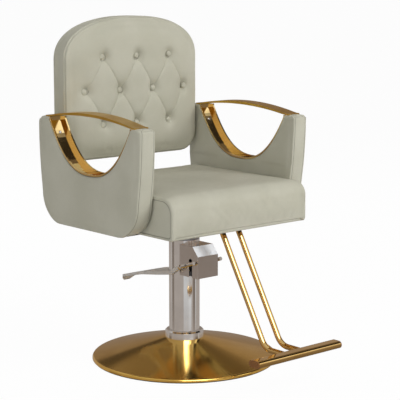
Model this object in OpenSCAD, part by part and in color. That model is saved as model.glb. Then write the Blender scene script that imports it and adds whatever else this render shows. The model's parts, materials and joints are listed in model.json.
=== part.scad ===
// Hydraulic salon chair: pedestal base, foot pump, swivel seat, open arms, tufted back, footrest.
// The origin is on the floor at the column's axis. The sitter faces -Y, and +X is the sitter's left.

/* [Base] */
// Radius of the round base
base_r = 269; // [240:1:300]
// Height of the base cover at its centre
base_h = 64; // [50:1:80]
// Height of the cover's rounded rim
rim_h = 12; // [9:1:16]
// Radius of the flat top of the base cover
base_top_r = 58; // [54:1:70]
// Thickness of the base cover's sheet
cover_sheet = 2.5; // [1.5:0.5:4]
// Thickness of the cast disc under the cover
disc_t = 10; // [6:1:14]
// Radius of the chrome collar
collar_r = 56; // [53:1:58]
// Height of the chrome collar
collar_h = 22; // [18:1:30]

/* [Pump] */
// Outer radius of the chrome tube
tube_r = 44.4; // [42:0.2:46]
// Length of the chrome tube above its flange
tube_l = 280; // [240:1:320]
// Wall of the chrome tube
tube_wall = 3; // [2:0.5:4]
// Thickness of the pump's flange
flange_t = 10; // [8:1:14]
// Outer radius of the hydraulic cylinder
cylinder_r = 26; // [24:1:32]
// Bore radius of the hydraulic cylinder
bore_r = 22; // [20.5:0.5:23]
// Radius of the ram
ram_r = 19; // [17.5:0.5:20]
// Thickness of the tube's head
head_t = 8; // [6:1:12]

/* [Pump cover] */
// Width of the folded cover
case_w = 75.8; // [70:0.2:84]
// Distance from the column's axis to the cover's front
case_front = 104; // [98:1:115]
// Height of the cover
case_h = 90; // [84:1:100]
// Sheet thickness of the cover
case_sheet = 2; // [1:0.5:3]
// Depth of the sloping face at the top
case_slope_d = 23; // [12:1:30]
// Height of the sloping face at the top
case_slope_h = 26.5; // [15:0.5:35]

/* [Foot lever] */
// Radius of the lever's shaft
shaft_r = 5; // [4:0.5:6]
// Distance from the column's axis to the shaft
shaft_y = 72; // [70:1:74]
// Distance from the middle of the chair to each lever rod
rod_x = 51; // [50.5:0.5:58]
// Radius of the lever rods
rod_r = 5.5; // [5:0.5:8]
// Slope of the lever rods, in degrees
rod_slope = 18.8; // [12:0.2:24]
// Travel of the lever from rest to fully pressed, in degrees
lever_travel = 18; // [8:1:20]
// Length of the crank from the shaft to its nose
crank_l = 18; // [17:0.5:19]
// Distance from the column's axis to the pedal's tip
pedal_reach = 274; // [230:1:290]
// Width of the pedal's round end
pedal_w = 62; // [50:1:80]

/* [Seat] */
// Width of the seat cushion, between the arms
seat_w = 500; // [440:10:560]
// Distance from the column's axis to the front of the seat cushion
seat_front = 246; // [235:1:270]
// Distance from the column's axis to the rear of the seat cushion
seat_rear = 244; // [215:1:260]
// Height of the seat cushion
seat_h = 113; // [90:1:140]
// Radius of the rounded top edge at the seat's front
nose_r = 38; // [20:1:45]
// Rise of the crown in the middle of the seat
seat_crown = 7; // [0:1:15]
// Radius of the cushions' edges at their seams
seam_r = 8; // [5:1:12]
// Thickness of the plywood boards
board_t = 18; // [12:1:22]
// Width of upholstery around the boards' edges
board_inset = 15; // [12:1:18]
// Thickness of the steel plates under the seat
plate_t = 5; // [4:1:8]

/* [Arms] */
// Thickness of an upholstered arm
arm_t = 61; // [54:1:72]
// Height of an arm
arm_h = 300; // [270:1:330]
// Distance from the column's axis to the arm's front at its top
arm_front = 187; // [180:1:205]
// Distance from the column's axis to the arm's rear at its top
arm_rear = 282; // [275:1:295]
// Lean of the arm's front edge from its foot to its top
front_lean = 17; // [10:1:26]
// Fall of the arm's top from its rear to its front
top_fall = 5.5; // [0:0.5:12]
// Lean of the arm's rear edge from its foot to its top
rear_lean = 14; // [8:1:22]
// Radius of the arm's lower front corner
front_corner_r = 92; // [70:1:100]
// Radius of the arm's lower rear corner
rear_corner_r = 80; // [60:1:95]
// Distance from the column's axis to the middle of the arm opening
opening_y = 37.5; // [25:0.5:50]
// Length of the arm opening at its top
opening_l = 372; // [340:1:380]
// Depth of the arm opening below the arm's top
opening_drop = 140; // [110:1:160]
// Width of the gold handle
handle_w = 46; // [36:1:56]
// Rise of the gold handle's underside over the arm's top
handle_rise = 15.6; // [10:0.2:35]
// Thickness of the gold handle at its middle
handle_t = 8; // [6:0.5:14]
// Width of the gold trim in the arm's opening
trim_w = 55; // [48:1:58]
// Width and height of the gold trim's raised lips
trim_lip = 5; // [3.5:0.5:8]
// Depth of the gold trim's channel below the opening's edge
trim_depth = 9; // [4:1:12]
// Thickness of the gold trim's web
trim_web = 2; // [1.5:0.5:3]

/* [Back] */
// Space between the back and each arm
back_side_gap = 3; // [1:0.5:8]
// Height of the back
back_h = 414; // [370:0.5:460]
// Space between the seat's top and the back
back_gap = 49; // [30:1:70]
// Distance from the column's axis to the back's front edge
back_y = 231; // [226:1:235]
// Thickness of the back
back_t = 61; // [56:1:70]
// Rise of the crown of the back's front
back_crown = 25; // [12:1:35]
// Depth of the tufts under the crown
tuft_depth = 15; // [6:1:18]
// Sideways distance between the buttons of a row
button_gap = 125; // [110:1:130]
// Height of the lowest row of buttons above the back's foot
button_low = 100; // [90:1:115]
// Height between the rows of buttons
row_gap = 100; // [85:1:105]
// Radius of a button
button_r = 10; // [6:0.5:11]

/* [Footrest] */
// Radius of the footrest tubes
foot_tube_r = 8; // [7:0.5:11]
// Distance from the middle of the chair to each footrest tube
foot_tube_x = 29.6; // [24:0.1:45]
// Slope of the footrest tubes from upright, in degrees
foot_lean = 30.7; // [24:0.1:32]
// Radius of the bend in the footrest tubes
foot_bend_r = 45; // [30:1:60]
// Height of the foot bar's middle above the floor
foot_bar_z = 108; // [95:1:130]
// Distance from the column's axis to the middle of the foot bar
foot_bar_y = 462; // [450:1:490]
// Length of the foot bar
foot_bar_l = 310; // [260:5:380]
// Depth of the foot bar's oval section
foot_bar_d = 39; // [32:1:48]
// Height of the foot bar's oval section
foot_bar_h = 20; // [18:1:26]
// Wall of the footrest's tubes and bar
foot_wall = 1.5; // [1:0.5:2.5]

/* [Hidden] */
$fn = 48;

// Overrun of every cut past the face that it opens
overrun = 1;
// Running clearance round a shaft or a bolt
fit = 0.05;
// Clearance between pieces that lie against each other
seat_gap = 0.3;

// Base: the rim, the disc's boss and the rubber ring
lip_r = 7;
ring_w = 13;
ring_h = 8;
disc_lift = 3;
boss_r = 55;
boss_foot_r = 82;
bolt_circle_r = 34;
base_bolt_r = 5;
base_bolt_head_r = 9;
base_bolt_head_h = 7;
base_bolt_pocket_r = 11;
base_bolt_seat = 27;
flange_r = 52;
flange_blind = 2;
collar_bevel = 4;

// Pump: heights up the column
flange_z = base_h;
tube_z = flange_z + flange_t;
tube_top = tube_z + tube_l;
head_z = tube_top + head_t;
head_spigot = 16;
bush_wall = 5;
bush_l = 14;
wiper_h = 5;
valve_h = 20;
valve_port_r = 4;
valve_ball_r = 7;
valve_cone_r = 9;
valve_cone_h = 4.5;
valve_slope = atan2(valve_cone_h, valve_cone_r - valve_port_r);
valve_apex_z = tube_z + valve_h - valve_cone_h - valve_port_r * tan(valve_slope);
valve_ball_z = valve_apex_z + (valve_ball_r + fit) / cos(valve_slope);

// Ram: the piston, the shoulder and the thrust bearing
shoulder_z = head_z + seat_gap;
piston_h = 20;
piston_z = valve_ball_z + valve_ball_r + seat_gap;
seal_h = 6;
seal_depth = 3;
piston_pin_r = 10;
spigot_r = 15;
bearing_h = 12;
race_t = 4.5;
race_r = 27;
ball_r = 3;
ball_track_r = 21;
ball_count = 12;
hub_z = shoulder_z + bearing_h;
hub_h = 30;
hub_r = 28;
plate_z = hub_z + hub_h;
seat_z = plate_z + plate_t;
washer_r = 18;
washer_t = 2.5;
washer_recess = 3;
hub_screw_r = 4;
hub_screw_l = 18;
hub_screw_head_r = 7;
hub_screw_head_h = 5;
access_r = 12;

// Pump block, plunger and spring
case_drop = 9;
case_top = tube_top - case_drop;
case_z = case_top - case_h;
case_rear = 24;
shaft_drop = 52.4;
shaft_z = case_top - shaft_drop;
slot_r = 7;
slot_rise = 10;
block_t = 14;
block_front = 92;
block_lift = 3;
block_z = case_z + block_lift;
ear_t = 9;
ear_x = 25;
ear_r = 11;
nose_end_r = 5;
crank_t = 16;
crank_hub_r = 8;
crank_half_h = 3;
crank_rise = lever_travel / 2;
plunger_r = 4;
plunger_head_r = 7;
plunger_head_h = 5;
plunger_y = shaft_y - crank_l;
plunger_top = shaft_z + crank_l * sin(crank_rise) - nose_end_r - seat_gap;
plunger_stroke = crank_l * 2 * sin(crank_rise);
plunger_foot = block_z + plunger_stroke + seat_gap;
spring_wire = 1.4;
spring_turns = 3;
spring_r = plunger_head_r - spring_wire;

// Foot lever
tenon_r = 3;
tenon_z = 2;
rod_front = 31;
rod_rear = 34;
nut_flat_r = 8.5;
nut_t = 7;
nut_at = rod_rear - nut_t;
yoke_t = 12;
yoke_half_w = 5.5;
yoke_bend_y = -4;
yoke_bend_drop = 32.6;
yoke_open_r = 12;
yoke_neck_share = 2.1;
yoke_fall_share = 0.62;
yoke_lip_drop = 14;
yoke_lip_shares = [0.35, 0.6, 0.78, 0.9, 1];
neck_fall_share = 0.85;

// Seat plates and fasteners
bracket_w = 200;
bracket_d = 100;
rib_t = 5;
rib_l = 62;
bar_w = 28;
front_bar_y = -68;
rear_bar_y = 112;
plate_bolt_r = 4;
plate_bolt_head_r = 7;
plate_bolt_head_h = 5;
bar_bolt_r = 3;
bar_bolt_head_r = 6;
bar_bolt_head_h = 3;
bar_bolt_sink = 0.5;
bolt_bite = 12;
edge_margin = 14;

// Arms
arm_gap = 0.5;
arm_x = seat_w / 2 + arm_gap;
arm_mid_x = arm_x + arm_t / 2;
arm_top = seat_z + arm_h;
arm_bulge = 4;
arm_crown = 3;
side_steps = 8;
corner_steps = 8;
foot_steps = 6;
station_count = 2 * side_steps + 2 * corner_steps + foot_steps;
opening_power = 2.5;
opening_rim_z = arm_top - seam_r;
handle_over = 17;
handle_shift = 6;
handle_end_t = 3.5;
handle_land_share = 0.93;
handle_steps = 36;
trim_steps = 40;
trim_screw_r = 2.5;
trim_screw_head_r = 5;
trim_screw_head_h = 2;
trim_screw_l = 14;
trim_screw_shares = [-0.9, 0, 0.9];

// Back
back_w = 2 * (arm_x - back_side_gap);
back_z = seat_z + seat_h + back_gap;
back_corner_r = 60;
shoulder_h = 125;
shoulder_power = 2.3;
top_flat_share = 0.3;
low_row_shares = [0, 0.13, 0.25, 0.4, 0.6, 0.8];
high_row_shares = [0.17, 0.35, 0.52, 0.68, 0.8, 0.88, 1];
row_splits = 5;
column_splits = 3;
column_count = 12;
tuft_spread = 24;
fold_depth = 5;
fold_spread = 13;
back_board_y = back_y + seam_r;
back_panel_t = 8;
button_h = 6;
button_rim_share = 0.9;
button_face_share = 0.5;
button_dome_shares = [1.3, 1.5, 1.55];
stud_r = 4;
stud_y = back_board_y + board_t / 2;
stud_bite = 34;
stud_arm_bite = 11;
stud_low = 42;
stud_high = 108;
stud_z = [back_z + stud_low, back_z + stud_high];

// Footrest
foot_plate_w = 120;
foot_plate_d = 72;
foot_plate_shift = 8;
foot_run = 89;
foot_top_y = foot_bar_y - foot_run - (seat_z - foot_bar_z) * tan(foot_lean);
foot_plate_y = foot_top_y - foot_plate_shift;
bar_cap_t = 3;
bar_plug_l = 8;

// Colours
gold = [0.80, 0.60, 0.24];
steel = [0.62, 0.63, 0.65];
chrome = [0.80, 0.81, 0.83];
iron = [0.30, 0.30, 0.31];
rubber = [0.10, 0.10, 0.10];
bronze = [0.66, 0.50, 0.30];
leather = [0.72, 0.71, 0.64];
plywood = [0.76, 0.62, 0.42];

// Points along a circle's arc
function arc_points(centre, r, from, to, steps) =
    [for (i = [0:steps])
        let (a = from + (to - from) * i / steps)
        centre + r * [cos(a), sin(a)]];

// Points between two points, without its ends
function between(a, b, count) = [for (i = [1:1:count]) a + (b - a) * i / (count + 1)];

// Six times the volume that a closed set of triangles holds
function volume_of(points, faces) =
    let (parts = [for (f = faces) points[f[0]] * cross(points[f[1]], points[f[2]])])
    parts * [for (part = parts) 1];

// A closed solid from triangles, turned the right way out
module solid(points, faces) {
    turned = [for (f = faces) [f[2], f[1], f[0]]];
    polyhedron(points, volume_of(points, faces) > 0 ? turned : faces, convexity = 10);
}

// Triangles between two rings of the same count
function band(from, to, count) =
    [for (i = [0:count - 1])
        let (next = (i + 1) % count)
        each [[from + i, to + i, to + next], [from + i, to + next, from + next]]];

// Triangles from a ring to one point
function fan(from, count, tip, flip) =
    [for (i = [0:count - 1])
        let (next = (i + 1) % count)
        flip ? [from + next, from + i, tip] : [from + i, from + next, tip]];

function centre_of(ring) = ([for (p = ring) 1] * ring) / len(ring);

// A solid through a row of rings, closed by a fan at each end
module loft(rings) {
    count = len(rings[0]);
    last = len(rings) - 1;
    points = concat([for (ring = rings) each ring], [centre_of(rings[0]), centre_of(rings[last])]);
    faces = concat(
        [for (j = [0:last - 1]) each band(j * count, (j + 1) * count, count)],
        fan(0, count, len(points) - 2, false),
        fan(last * count, count, len(points) - 1, true));
    solid(points, faces);
}

// An outline in Y and Z, given a width along X about the middle
module side_extrude(width) {
    rotate([90, 0, 90])
        linear_extrude(width, center = true)
            children();
}

module x_cylinder(r, l) {
    rotate([0, 90, 0])
        cylinder(r = r, h = l, center = true);
}

module both_sides() {
    children();
    mirror([1, 0, 0])
        children();
}

// A bolt that seats at the origin, with its shank up and its six-sided head down
module bolt(shank_r, shank_l, head_r, head_h) {
    cylinder(r = shank_r, h = shank_l);
    translate([0, 0, -head_h])
        cylinder(r = head_r, h = head_h, $fn = 6);
}

// BASE

// Height of the cover's cone at a radius
function cone_z(r) = base_h - (r - base_top_r) * (base_h - rim_h) / (base_r - lip_r - base_top_r);

module base_cover() {
    outer_r = base_r;
    rim_r = base_r - lip_r;
    lip_z = rim_h - lip_r;
    color(gold)
        difference() {
            rotate_extrude($fn = 96)
                polygon(concat(
                    [[0, base_h], [base_top_r, base_h], [rim_r, rim_h]],
                    arc_points([rim_r, lip_z], lip_r, 80, 0, 6),
                    [[outer_r, disc_lift], [outer_r - cover_sheet, disc_lift]],
                    arc_points([rim_r, lip_z], lip_r - cover_sheet, 0, 80, 6),
                    [[rim_r, rim_h - cover_sheet], [base_top_r, base_h - cover_sheet],
                     [0, base_h - cover_sheet]]));
            bolt_ring(flange_z - cover_sheet - overrun)
                cylinder(r = base_bolt_r + fit, h = cover_sheet + 2 * overrun);
        }
}

module bolt_ring(z) {
    for (i = [0:3])
        rotate([0, 0, 45 + 90 * i])
            translate([bolt_circle_r, 0, z])
                children();
}

module base_disc() {
    disc_r = base_r - cover_sheet - ring_w - 2 * seat_gap;
    rise = cone_z(disc_r) - cover_sheet - disc_lift - seat_gap;
    edge_t = min(disc_t, rise);
    color(iron)
        difference() {
            rotate_extrude($fn = 96)
                polygon([
                    [0, disc_lift], [disc_r, disc_lift], [disc_r, disc_lift + edge_t],
                    [boss_foot_r, disc_lift + disc_t], [boss_r, base_h - cover_sheet],
                    [0, base_h - cover_sheet]]);
            bolt_ring(disc_lift - overrun) {
                cylinder(r = base_bolt_r + fit, h = base_h);
                cylinder(r = base_bolt_pocket_r, h = base_bolt_seat - disc_lift + overrun);
            }
        }
}

module floor_ring() {
    outer_r = base_r - cover_sheet - seat_gap;
    color(rubber)
        rotate_extrude($fn = 96)
            polygon([
                [outer_r - ring_w, 0], [outer_r - seat_gap, 0], [outer_r, seat_gap],
                [outer_r, ring_h - lip_r / 2], [outer_r - lip_r / 2, ring_h],
                [outer_r - ring_w, ring_h]]);
}

module base_bolts() {
    length = base_h + flange_t - flange_blind - seat_gap - base_bolt_seat;
    color(steel)
        bolt_ring(base_bolt_seat)
            bolt(base_bolt_r, length, base_bolt_head_r, base_bolt_head_h);
}

module pump_flange() {
    color(steel)
        difference() {
            translate([0, 0, flange_z])
                cylinder(r = flange_r, h = flange_t);
            bolt_ring(flange_z - overrun)
                cylinder(r = base_bolt_r + fit, h = flange_t - flange_blind + overrun);
        }
}

module base_collar() {
    color(chrome)
        rotate_extrude($fn = 96)
            polygon([
                [flange_r + seat_gap, base_h], [collar_r, base_h],
                [collar_r, base_h + collar_h - collar_bevel],
                [collar_r - collar_bevel, base_h + collar_h],
                [tube_r + seat_gap, base_h + collar_h],
                [tube_r + seat_gap, tube_z + seat_gap], [flange_r + seat_gap, tube_z + seat_gap]]);
}

// PUMP

module pump_tube() {
    color(chrome)
        translate([0, 0, tube_z])
            difference() {
                cylinder(r = tube_r, h = tube_l, $fn = 96);
                translate([0, 0, -overrun])
                    cylinder(r = tube_r - tube_wall, h = tube_l + 2 * overrun, $fn = 96);
            }
}

module pump_cylinder() {
    color(steel)
        translate([0, 0, tube_z])
            difference() {
                cylinder(r = cylinder_r, h = tube_l - head_spigot);
                translate([0, 0, -overrun])
                    cylinder(r = bore_r, h = tube_l + 2 * overrun);
            }
}

module foot_valve() {
    color(bronze)
        rotate_extrude()
            polygon([
                [valve_port_r, tube_z], [bore_r - fit, tube_z], [bore_r - fit, tube_z + valve_h],
                [valve_cone_r, tube_z + valve_h], [valve_port_r, tube_z + valve_h - valve_cone_h]]);
}

module valve_ball() {
    color(steel)
        translate([0, 0, valve_ball_z])
            sphere(r = valve_ball_r);
}

module tube_head() {
    bush_r = ram_r + fit + bush_wall;
    color(steel)
        difference() {
            union() {
                translate([0, 0, tube_top])
                    cylinder(r = tube_r, h = head_t, $fn = 96);
                translate([0, 0, tube_top - head_spigot])
                    cylinder(r = tube_r - tube_wall - fit, h = head_spigot, $fn = 96);
            }
            translate([0, 0, tube_top - head_spigot - overrun])
                cylinder(r = ram_r + seat_gap, h = head_spigot + head_t + 2 * overrun);
            translate([0, 0, head_z - wiper_h - bush_l])
                cylinder(r = bush_r + fit, h = bush_l + wiper_h + overrun);
        }
}

module ram_bush() {
    color(bronze)
        translate([0, 0, head_z - wiper_h - bush_l])
            difference() {
                cylinder(r = ram_r + fit + bush_wall, h = bush_l);
                translate([0, 0, -overrun])
                    cylinder(r = ram_r + fit, h = bush_l + 2 * overrun);
            }
}

module ram_wiper() {
    color(rubber)
        translate([0, 0, head_z - wiper_h])
            difference() {
                cylinder(r = ram_r + fit + bush_wall, h = wiper_h);
                translate([0, 0, -overrun])
                    cylinder(r = ram_r + fit, h = wiper_h + 2 * overrun);
            }
}

module pump_block() {
    inner_w = case_w - 2 * case_sheet - 2 * seat_gap;
    color(iron)
        difference() {
            union() {
                translate([-inner_w / 2, -block_front, block_z])
                    cube([inner_w, block_front - case_rear, block_t]);
                both_sides()
                    translate([ear_x, 0, 0])
                        side_extrude(ear_t) {
                            translate([-shaft_y, shaft_z])
                                circle(r = ear_r);
                            translate([-shaft_y - ear_r, block_z])
                                square([2 * ear_r, shaft_z - block_z]);
                        }
            }
            cylinder(r = tube_r, h = tube_top, $fn = 96);
            translate([0, -shaft_y, shaft_z])
                x_cylinder(shaft_r + fit, case_w);
            translate([0, -plunger_y, block_z - overrun])
                cylinder(r = plunger_r + fit, h = block_t + 2 * overrun);
        }
}

// Outline of the pump cover in Y and Z, drawn in by a wall and let out past its open faces
function case_outline(wall, past) = [
    [-case_front + wall, case_z - past], [-case_front + wall, case_top - case_slope_h - wall / 2],
    [-case_front + case_slope_d + wall / 2, case_top - wall], [-case_rear + past, case_top - wall],
    [-case_rear + past, case_z - past]];

module pump_cover() {
    color(steel)
        difference() {
            side_extrude(case_w)
                polygon(case_outline(0, 0));
            side_extrude(case_w - 2 * case_sheet)
                polygon(case_outline(case_sheet, overrun));
            cylinder(r = tube_r + seat_gap, h = case_top + overrun, $fn = 96);
            translate([0, -shaft_y, shaft_z + slot_rise])
                x_cylinder(slot_r, case_w + 2 * overrun);
            translate([-case_w / 2 - overrun, -shaft_y - slot_r, case_z - overrun])
                cube([case_w + 2 * overrun, 2 * slot_r, shaft_z + slot_rise - case_z + overrun]);
        }
}

// FOOT LEVER

module lever_shaft() {
    body_l = 2 * (rod_x - rod_r - seat_gap);
    color(steel)
        translate([0, -shaft_y, shaft_z]) {
            x_cylinder(shaft_r, body_l);
            x_cylinder(tenon_r, 2 * (rod_x + rod_r + tenon_z));
        }
}

module crank_arm() {
    color(steel)
        translate([0, -shaft_y, shaft_z])
            side_extrude(crank_t)
                rotate([0, 0, crank_rise])
                    difference() {
                        union() {
                            circle(r = crank_hub_r);
                            translate([0, -crank_half_h])
                                square([crank_l, 2 * crank_half_h]);
                            translate([crank_l, 0])
                                circle(r = nose_end_r);
                        }
                        circle(r = shaft_r + fit);
                    }
}

// Frame along a lever rod: the origin is on the shaft, and Z runs down the rod to the rear
module along_rod() {
    both_sides()
        translate([rod_x, -shaft_y, shaft_z])
            rotate([-90 - rod_slope, 0, 0])
                children();
}

module lever_rods() {
    color(chrome)
        difference() {
            along_rod()
                translate([0, 0, -rod_front])
                    cylinder(r = rod_r, h = rod_front + rod_rear);
            translate([0, -shaft_y, shaft_z])
                x_cylinder(tenon_r + fit, 4 * rod_x);
        }
}

module lever_nuts() {
    color(chrome)
        along_rod()
            translate([0, 0, nut_at])
                difference() {
                    cylinder(r = nut_flat_r, h = nut_t, $fn = 6);
                    translate([0, 0, -overrun])
                        cylinder(r = rod_r + fit, h = nut_t + 2 * overrun);
                }
}

// Edges of a strip along a path, at a half thickness for each point
function strip_side(path, halves, side) =
    [for (i = [0:len(path) - 1])
        let (a = path[max(i - 1, 0)], b = path[min(i + 1, len(path) - 1)],
             d = (b - a) / norm(b - a))
        path[i] + side * halves[i] * [-d[1], d[0]]];

module lever_yoke() {
    start = rod_rear + seat_gap;
    shaft = [-shaft_y, shaft_z];
    bend = [yoke_bend_y, shaft_z - yoke_bend_drop];
    fall = tan(rod_slope) * yoke_fall_share;
    neck_y = pedal_reach - pedal_w * yoke_neck_share;
    tip_y = pedal_reach - pedal_w / 2;
    path = [
        shaft + start * [cos(rod_slope), -sin(rod_slope)],
        shaft + (start + yoke_t / 2) * [cos(rod_slope), -sin(rod_slope)],
        bend,
        [neck_y, bend[1] - (neck_y - bend[0]) * fall * neck_fall_share],
        [tip_y, bend[1] - (tip_y - bend[0]) * fall]];
    lip = [for (s = yoke_lip_shares)
        let (y = tip_y + (pedal_reach + overrun - tip_y) * s)
        [y, bend[1] - (y - bend[0]) * fall - yoke_lip_drop * s * s * s]];
    spine = concat(path, lip);
    half_shares = [1, 1, 1, 0.85, 0.65];
    halves = [for (i = [0:len(spine) - 1]) half_shares[min(i, 4)] * yoke_half_w];
    outer_x = rod_x + yoke_half_w;
    inner_x = rod_x - yoke_half_w;
    end_r = pedal_w / 2;
    color(steel)
        intersection() {
            side_extrude(4 * rod_x)
                polygon(concat(
                    strip_side(spine, halves, 1),
                    [for (p = [len(spine) - 1:-1:0]) strip_side(spine, halves, -1)[p]]));
            linear_extrude(tube_top)
                difference() {
                    polygon(concat(
                        [[outer_x, -shaft_y], [outer_x, tube_r + rod_r]],
                        [[(outer_x + end_r) / 2, neck_y]],
                        arc_points([0, pedal_reach - end_r], end_r, 15, 165, 14),
                        [[-(outer_x + end_r) / 2, neck_y]],
                        [[-outer_x, tube_r + rod_r], [-outer_x, -shaft_y]]));
                    polygon(concat(
                        [[inner_x, -shaft_y - overrun], [inner_x, tube_r + rod_r]],
                        arc_points([0, neck_y + end_r], yoke_open_r, 10, 170, 8),
                        [[-inner_x, tube_r + rod_r], [-inner_x, -shaft_y - overrun]]));
                }
        }
}

module plunger() {
    color(steel)
        translate([0, -plunger_y, 0]) {
            translate([0, 0, plunger_foot])
                cylinder(r = plunger_r, h = plunger_top - plunger_foot);
            translate([0, 0, plunger_top - plunger_head_h])
                cylinder(r = plunger_head_r, h = plunger_head_h);
        }
}

// A coil of round wire from the block's top to the plunger's head
module plunger_spring() {
    rings_per_turn = 10;
    wire_r = spring_wire / 2;
    low = block_z + block_t + wire_r;
    high = plunger_top - plunger_head_h - wire_r - seat_gap;
    count = spring_turns * rings_per_turn;
    rings = [for (i = [0:count])
        let (a = 360 * i / rings_per_turn, z = low + (high - low) * i / count)
        [for (k = [0:5])
            let (b = 60 * k, r = spring_r + wire_r * cos(b))
            [r * cos(a), r * sin(a) - plunger_y, z + wire_r * sin(b)]]];
    color(chrome)
        loft(rings);
}

// RAM

module ram() {
    foot = piston_z + piston_h;
    color(chrome) {
        translate([0, 0, foot])
            difference() {
                union() {
                    cylinder(r = ram_r, h = shoulder_z - foot);
                    cylinder(r = spigot_r, h = plate_z + plate_t - washer_recess + fit - foot);
                }
                translate([0, 0, plate_z - hub_screw_l / 2 - foot])
                    cylinder(r = hub_screw_r + fit, h = hub_screw_l + overrun);
                translate([0, 0, -overrun])
                    cylinder(r = piston_pin_r + fit, h = piston_h / 2 + overrun);
            }
    }
}

module piston() {
    seal_z = piston_z + (piston_h - seal_h) / 2;
    color(iron)
        difference() {
            union() {
                translate([0, 0, piston_z])
                    cylinder(r = bore_r - fit, h = piston_h);
                translate([0, 0, piston_z])
                    cylinder(r = piston_pin_r, h = piston_h * 3 / 2 - seat_gap);
            }
            translate([0, 0, seal_z])
                difference() {
                    cylinder(r = bore_r + overrun, h = seal_h);
                    cylinder(r = bore_r - seal_depth, h = seal_h);
                }
        }
}

module piston_seal() {
    color(rubber)
        translate([0, 0, piston_z + (piston_h - seal_h) / 2 + fit])
            difference() {
                cylinder(r = bore_r - fit, h = seal_h - 2 * fit);
                translate([0, 0, -overrun])
                    cylinder(r = bore_r - seal_depth + fit, h = seal_h + 2 * overrun);
            }
}

module race(z) {
    color(steel)
        rotate_extrude()
            difference() {
                translate([spigot_r + fit, z])
                    square([race_r - spigot_r - fit, race_t]);
                translate([ball_track_r, shoulder_z + bearing_h / 2])
                    circle(r = ball_r + fit, $fn = 24);
            }
}

module bearing_lower_race() {
    race(shoulder_z);
}

module bearing_upper_race() {
    race(hub_z - race_t);
}

module bearing_balls() {
    color(chrome)
        for (i = [0:ball_count - 1])
            rotate([0, 0, 360 * i / ball_count])
                translate([ball_track_r, 0, shoulder_z + bearing_h / 2])
                    sphere(r = ball_r, $fn = 24);
}

module hub_washer() {
    color(steel)
        translate([0, 0, seat_z - washer_recess + fit])
            difference() {
                cylinder(r = washer_r, h = washer_t);
                translate([0, 0, -overrun])
                    cylinder(r = hub_screw_r + fit, h = washer_t + 2 * overrun);
            }
}

module hub_screw() {
    top = seat_z - washer_recess + fit + washer_t;
    color(steel)
        translate([0, 0, top])
            rotate([180, 0, 0])
                bolt(hub_screw_r, hub_screw_l / 2, hub_screw_head_r, hub_screw_head_h);
}

// SEAT

module seat_bracket() {
    color(iron)
        difference() {
            union() {
                translate([-bracket_w / 2, -bracket_d / 2, plate_z])
                    cube([bracket_w, bracket_d, plate_t]);
                translate([0, 0, hub_z])
                    cylinder(r = hub_r, h = hub_h);
                for (i = [0:1])
                    rotate([0, 0, 180 * i])
                        rotate([90, 0, 0])
                            linear_extrude(rib_t, center = true)
                                polygon([
                                    [0, hub_z + rib_t], [hub_r, hub_z + rib_t],
                                    [rib_l, plate_z - rib_t], [rib_l, plate_z], [0, plate_z]]);
            }
            translate([0, 0, hub_z - overrun])
                cylinder(r = spigot_r + fit, h = hub_h + plate_t + 2 * overrun);
            translate([0, 0, seat_z - washer_recess])
                cylinder(r = washer_r + seat_gap, h = washer_recess + overrun);
            bracket_places(plate_z - overrun)
                cylinder(r = plate_bolt_r + fit, h = plate_t + 2 * overrun);
        }
}

module bracket_places(z) {
    for (x = [-1, 1], y = [-1, 1])
        translate([x * (bracket_w / 2 - edge_margin), y * (bracket_d / 2 - edge_margin), z])
            children();
}

module bracket_bolts() {
    color(steel)
        bracket_places(plate_z)
            bolt(plate_bolt_r, plate_t + bolt_bite, plate_bolt_head_r, plate_bolt_head_h);
}

// Places of the screws along the two cross bars, into the seat board and the arm boards
module bar_places(z) {
    for (x = [seat_w / 2 - board_inset - edge_margin, arm_mid_x], y = [front_bar_y, rear_bar_y])
        for (side = [-1, 1])
            translate([side * x, y, z])
                children();
}

module cross_bars() {
    color(iron)
        difference() {
            for (y = [front_bar_y, rear_bar_y])
                translate([-arm_mid_x - bar_w / 3, y - bar_w / 2, plate_z])
                    cube([2 * arm_mid_x + 2 * bar_w / 3, bar_w, plate_t]);
            bar_places(plate_z) {
                translate([0, 0, -overrun])
                    cylinder(r = bar_bolt_head_r + fit, h = overrun + bar_bolt_sink);
                sunk_screw(fit, plate_t + overrun);
            }
        }
}

// A sunk screw of the cross bars, let out by a clearance
module sunk_screw(spread, shank_l) {
    translate([0, 0, bar_bolt_sink]) {
        cylinder(r = bar_bolt_r + spread, h = shank_l);
        cylinder(r1 = bar_bolt_head_r + spread, r2 = bar_bolt_r + spread, h = bar_bolt_head_h);
    }
}

module cross_bar_bolts() {
    color(steel)
        bar_places(plate_z)
            sunk_screw(0, plate_t + bolt_bite - bar_bolt_sink);
}

module seat_board_shape(spread, z, h) {
    inset = board_inset - spread;
    translate([-seat_w / 2 + inset, -seat_front + inset, z])
        cube([seat_w - 2 * inset, seat_front + seat_rear - 2 * inset, h]);
}

module seat_board() {
    color(plywood)
        difference() {
            seat_board_shape(0, seat_z, board_t);
            translate([0, 0, seat_z - overrun])
                cylinder(r = access_r, h = board_t + 2 * overrun);
            bracket_places(seat_z - overrun)
                cylinder(r = plate_bolt_r + fit, h = bolt_bite + 2 * overrun);
            bar_places(seat_z - overrun)
                cylinder(r = bar_bolt_r + fit, h = bolt_bite + 2 * overrun);
            footrest_places(seat_z - overrun)
                cylinder(r = plate_bolt_r + fit, h = board_t + 2 * overrun);
            footrest_plate_shape(seat_gap, overrun);
        }
}

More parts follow.
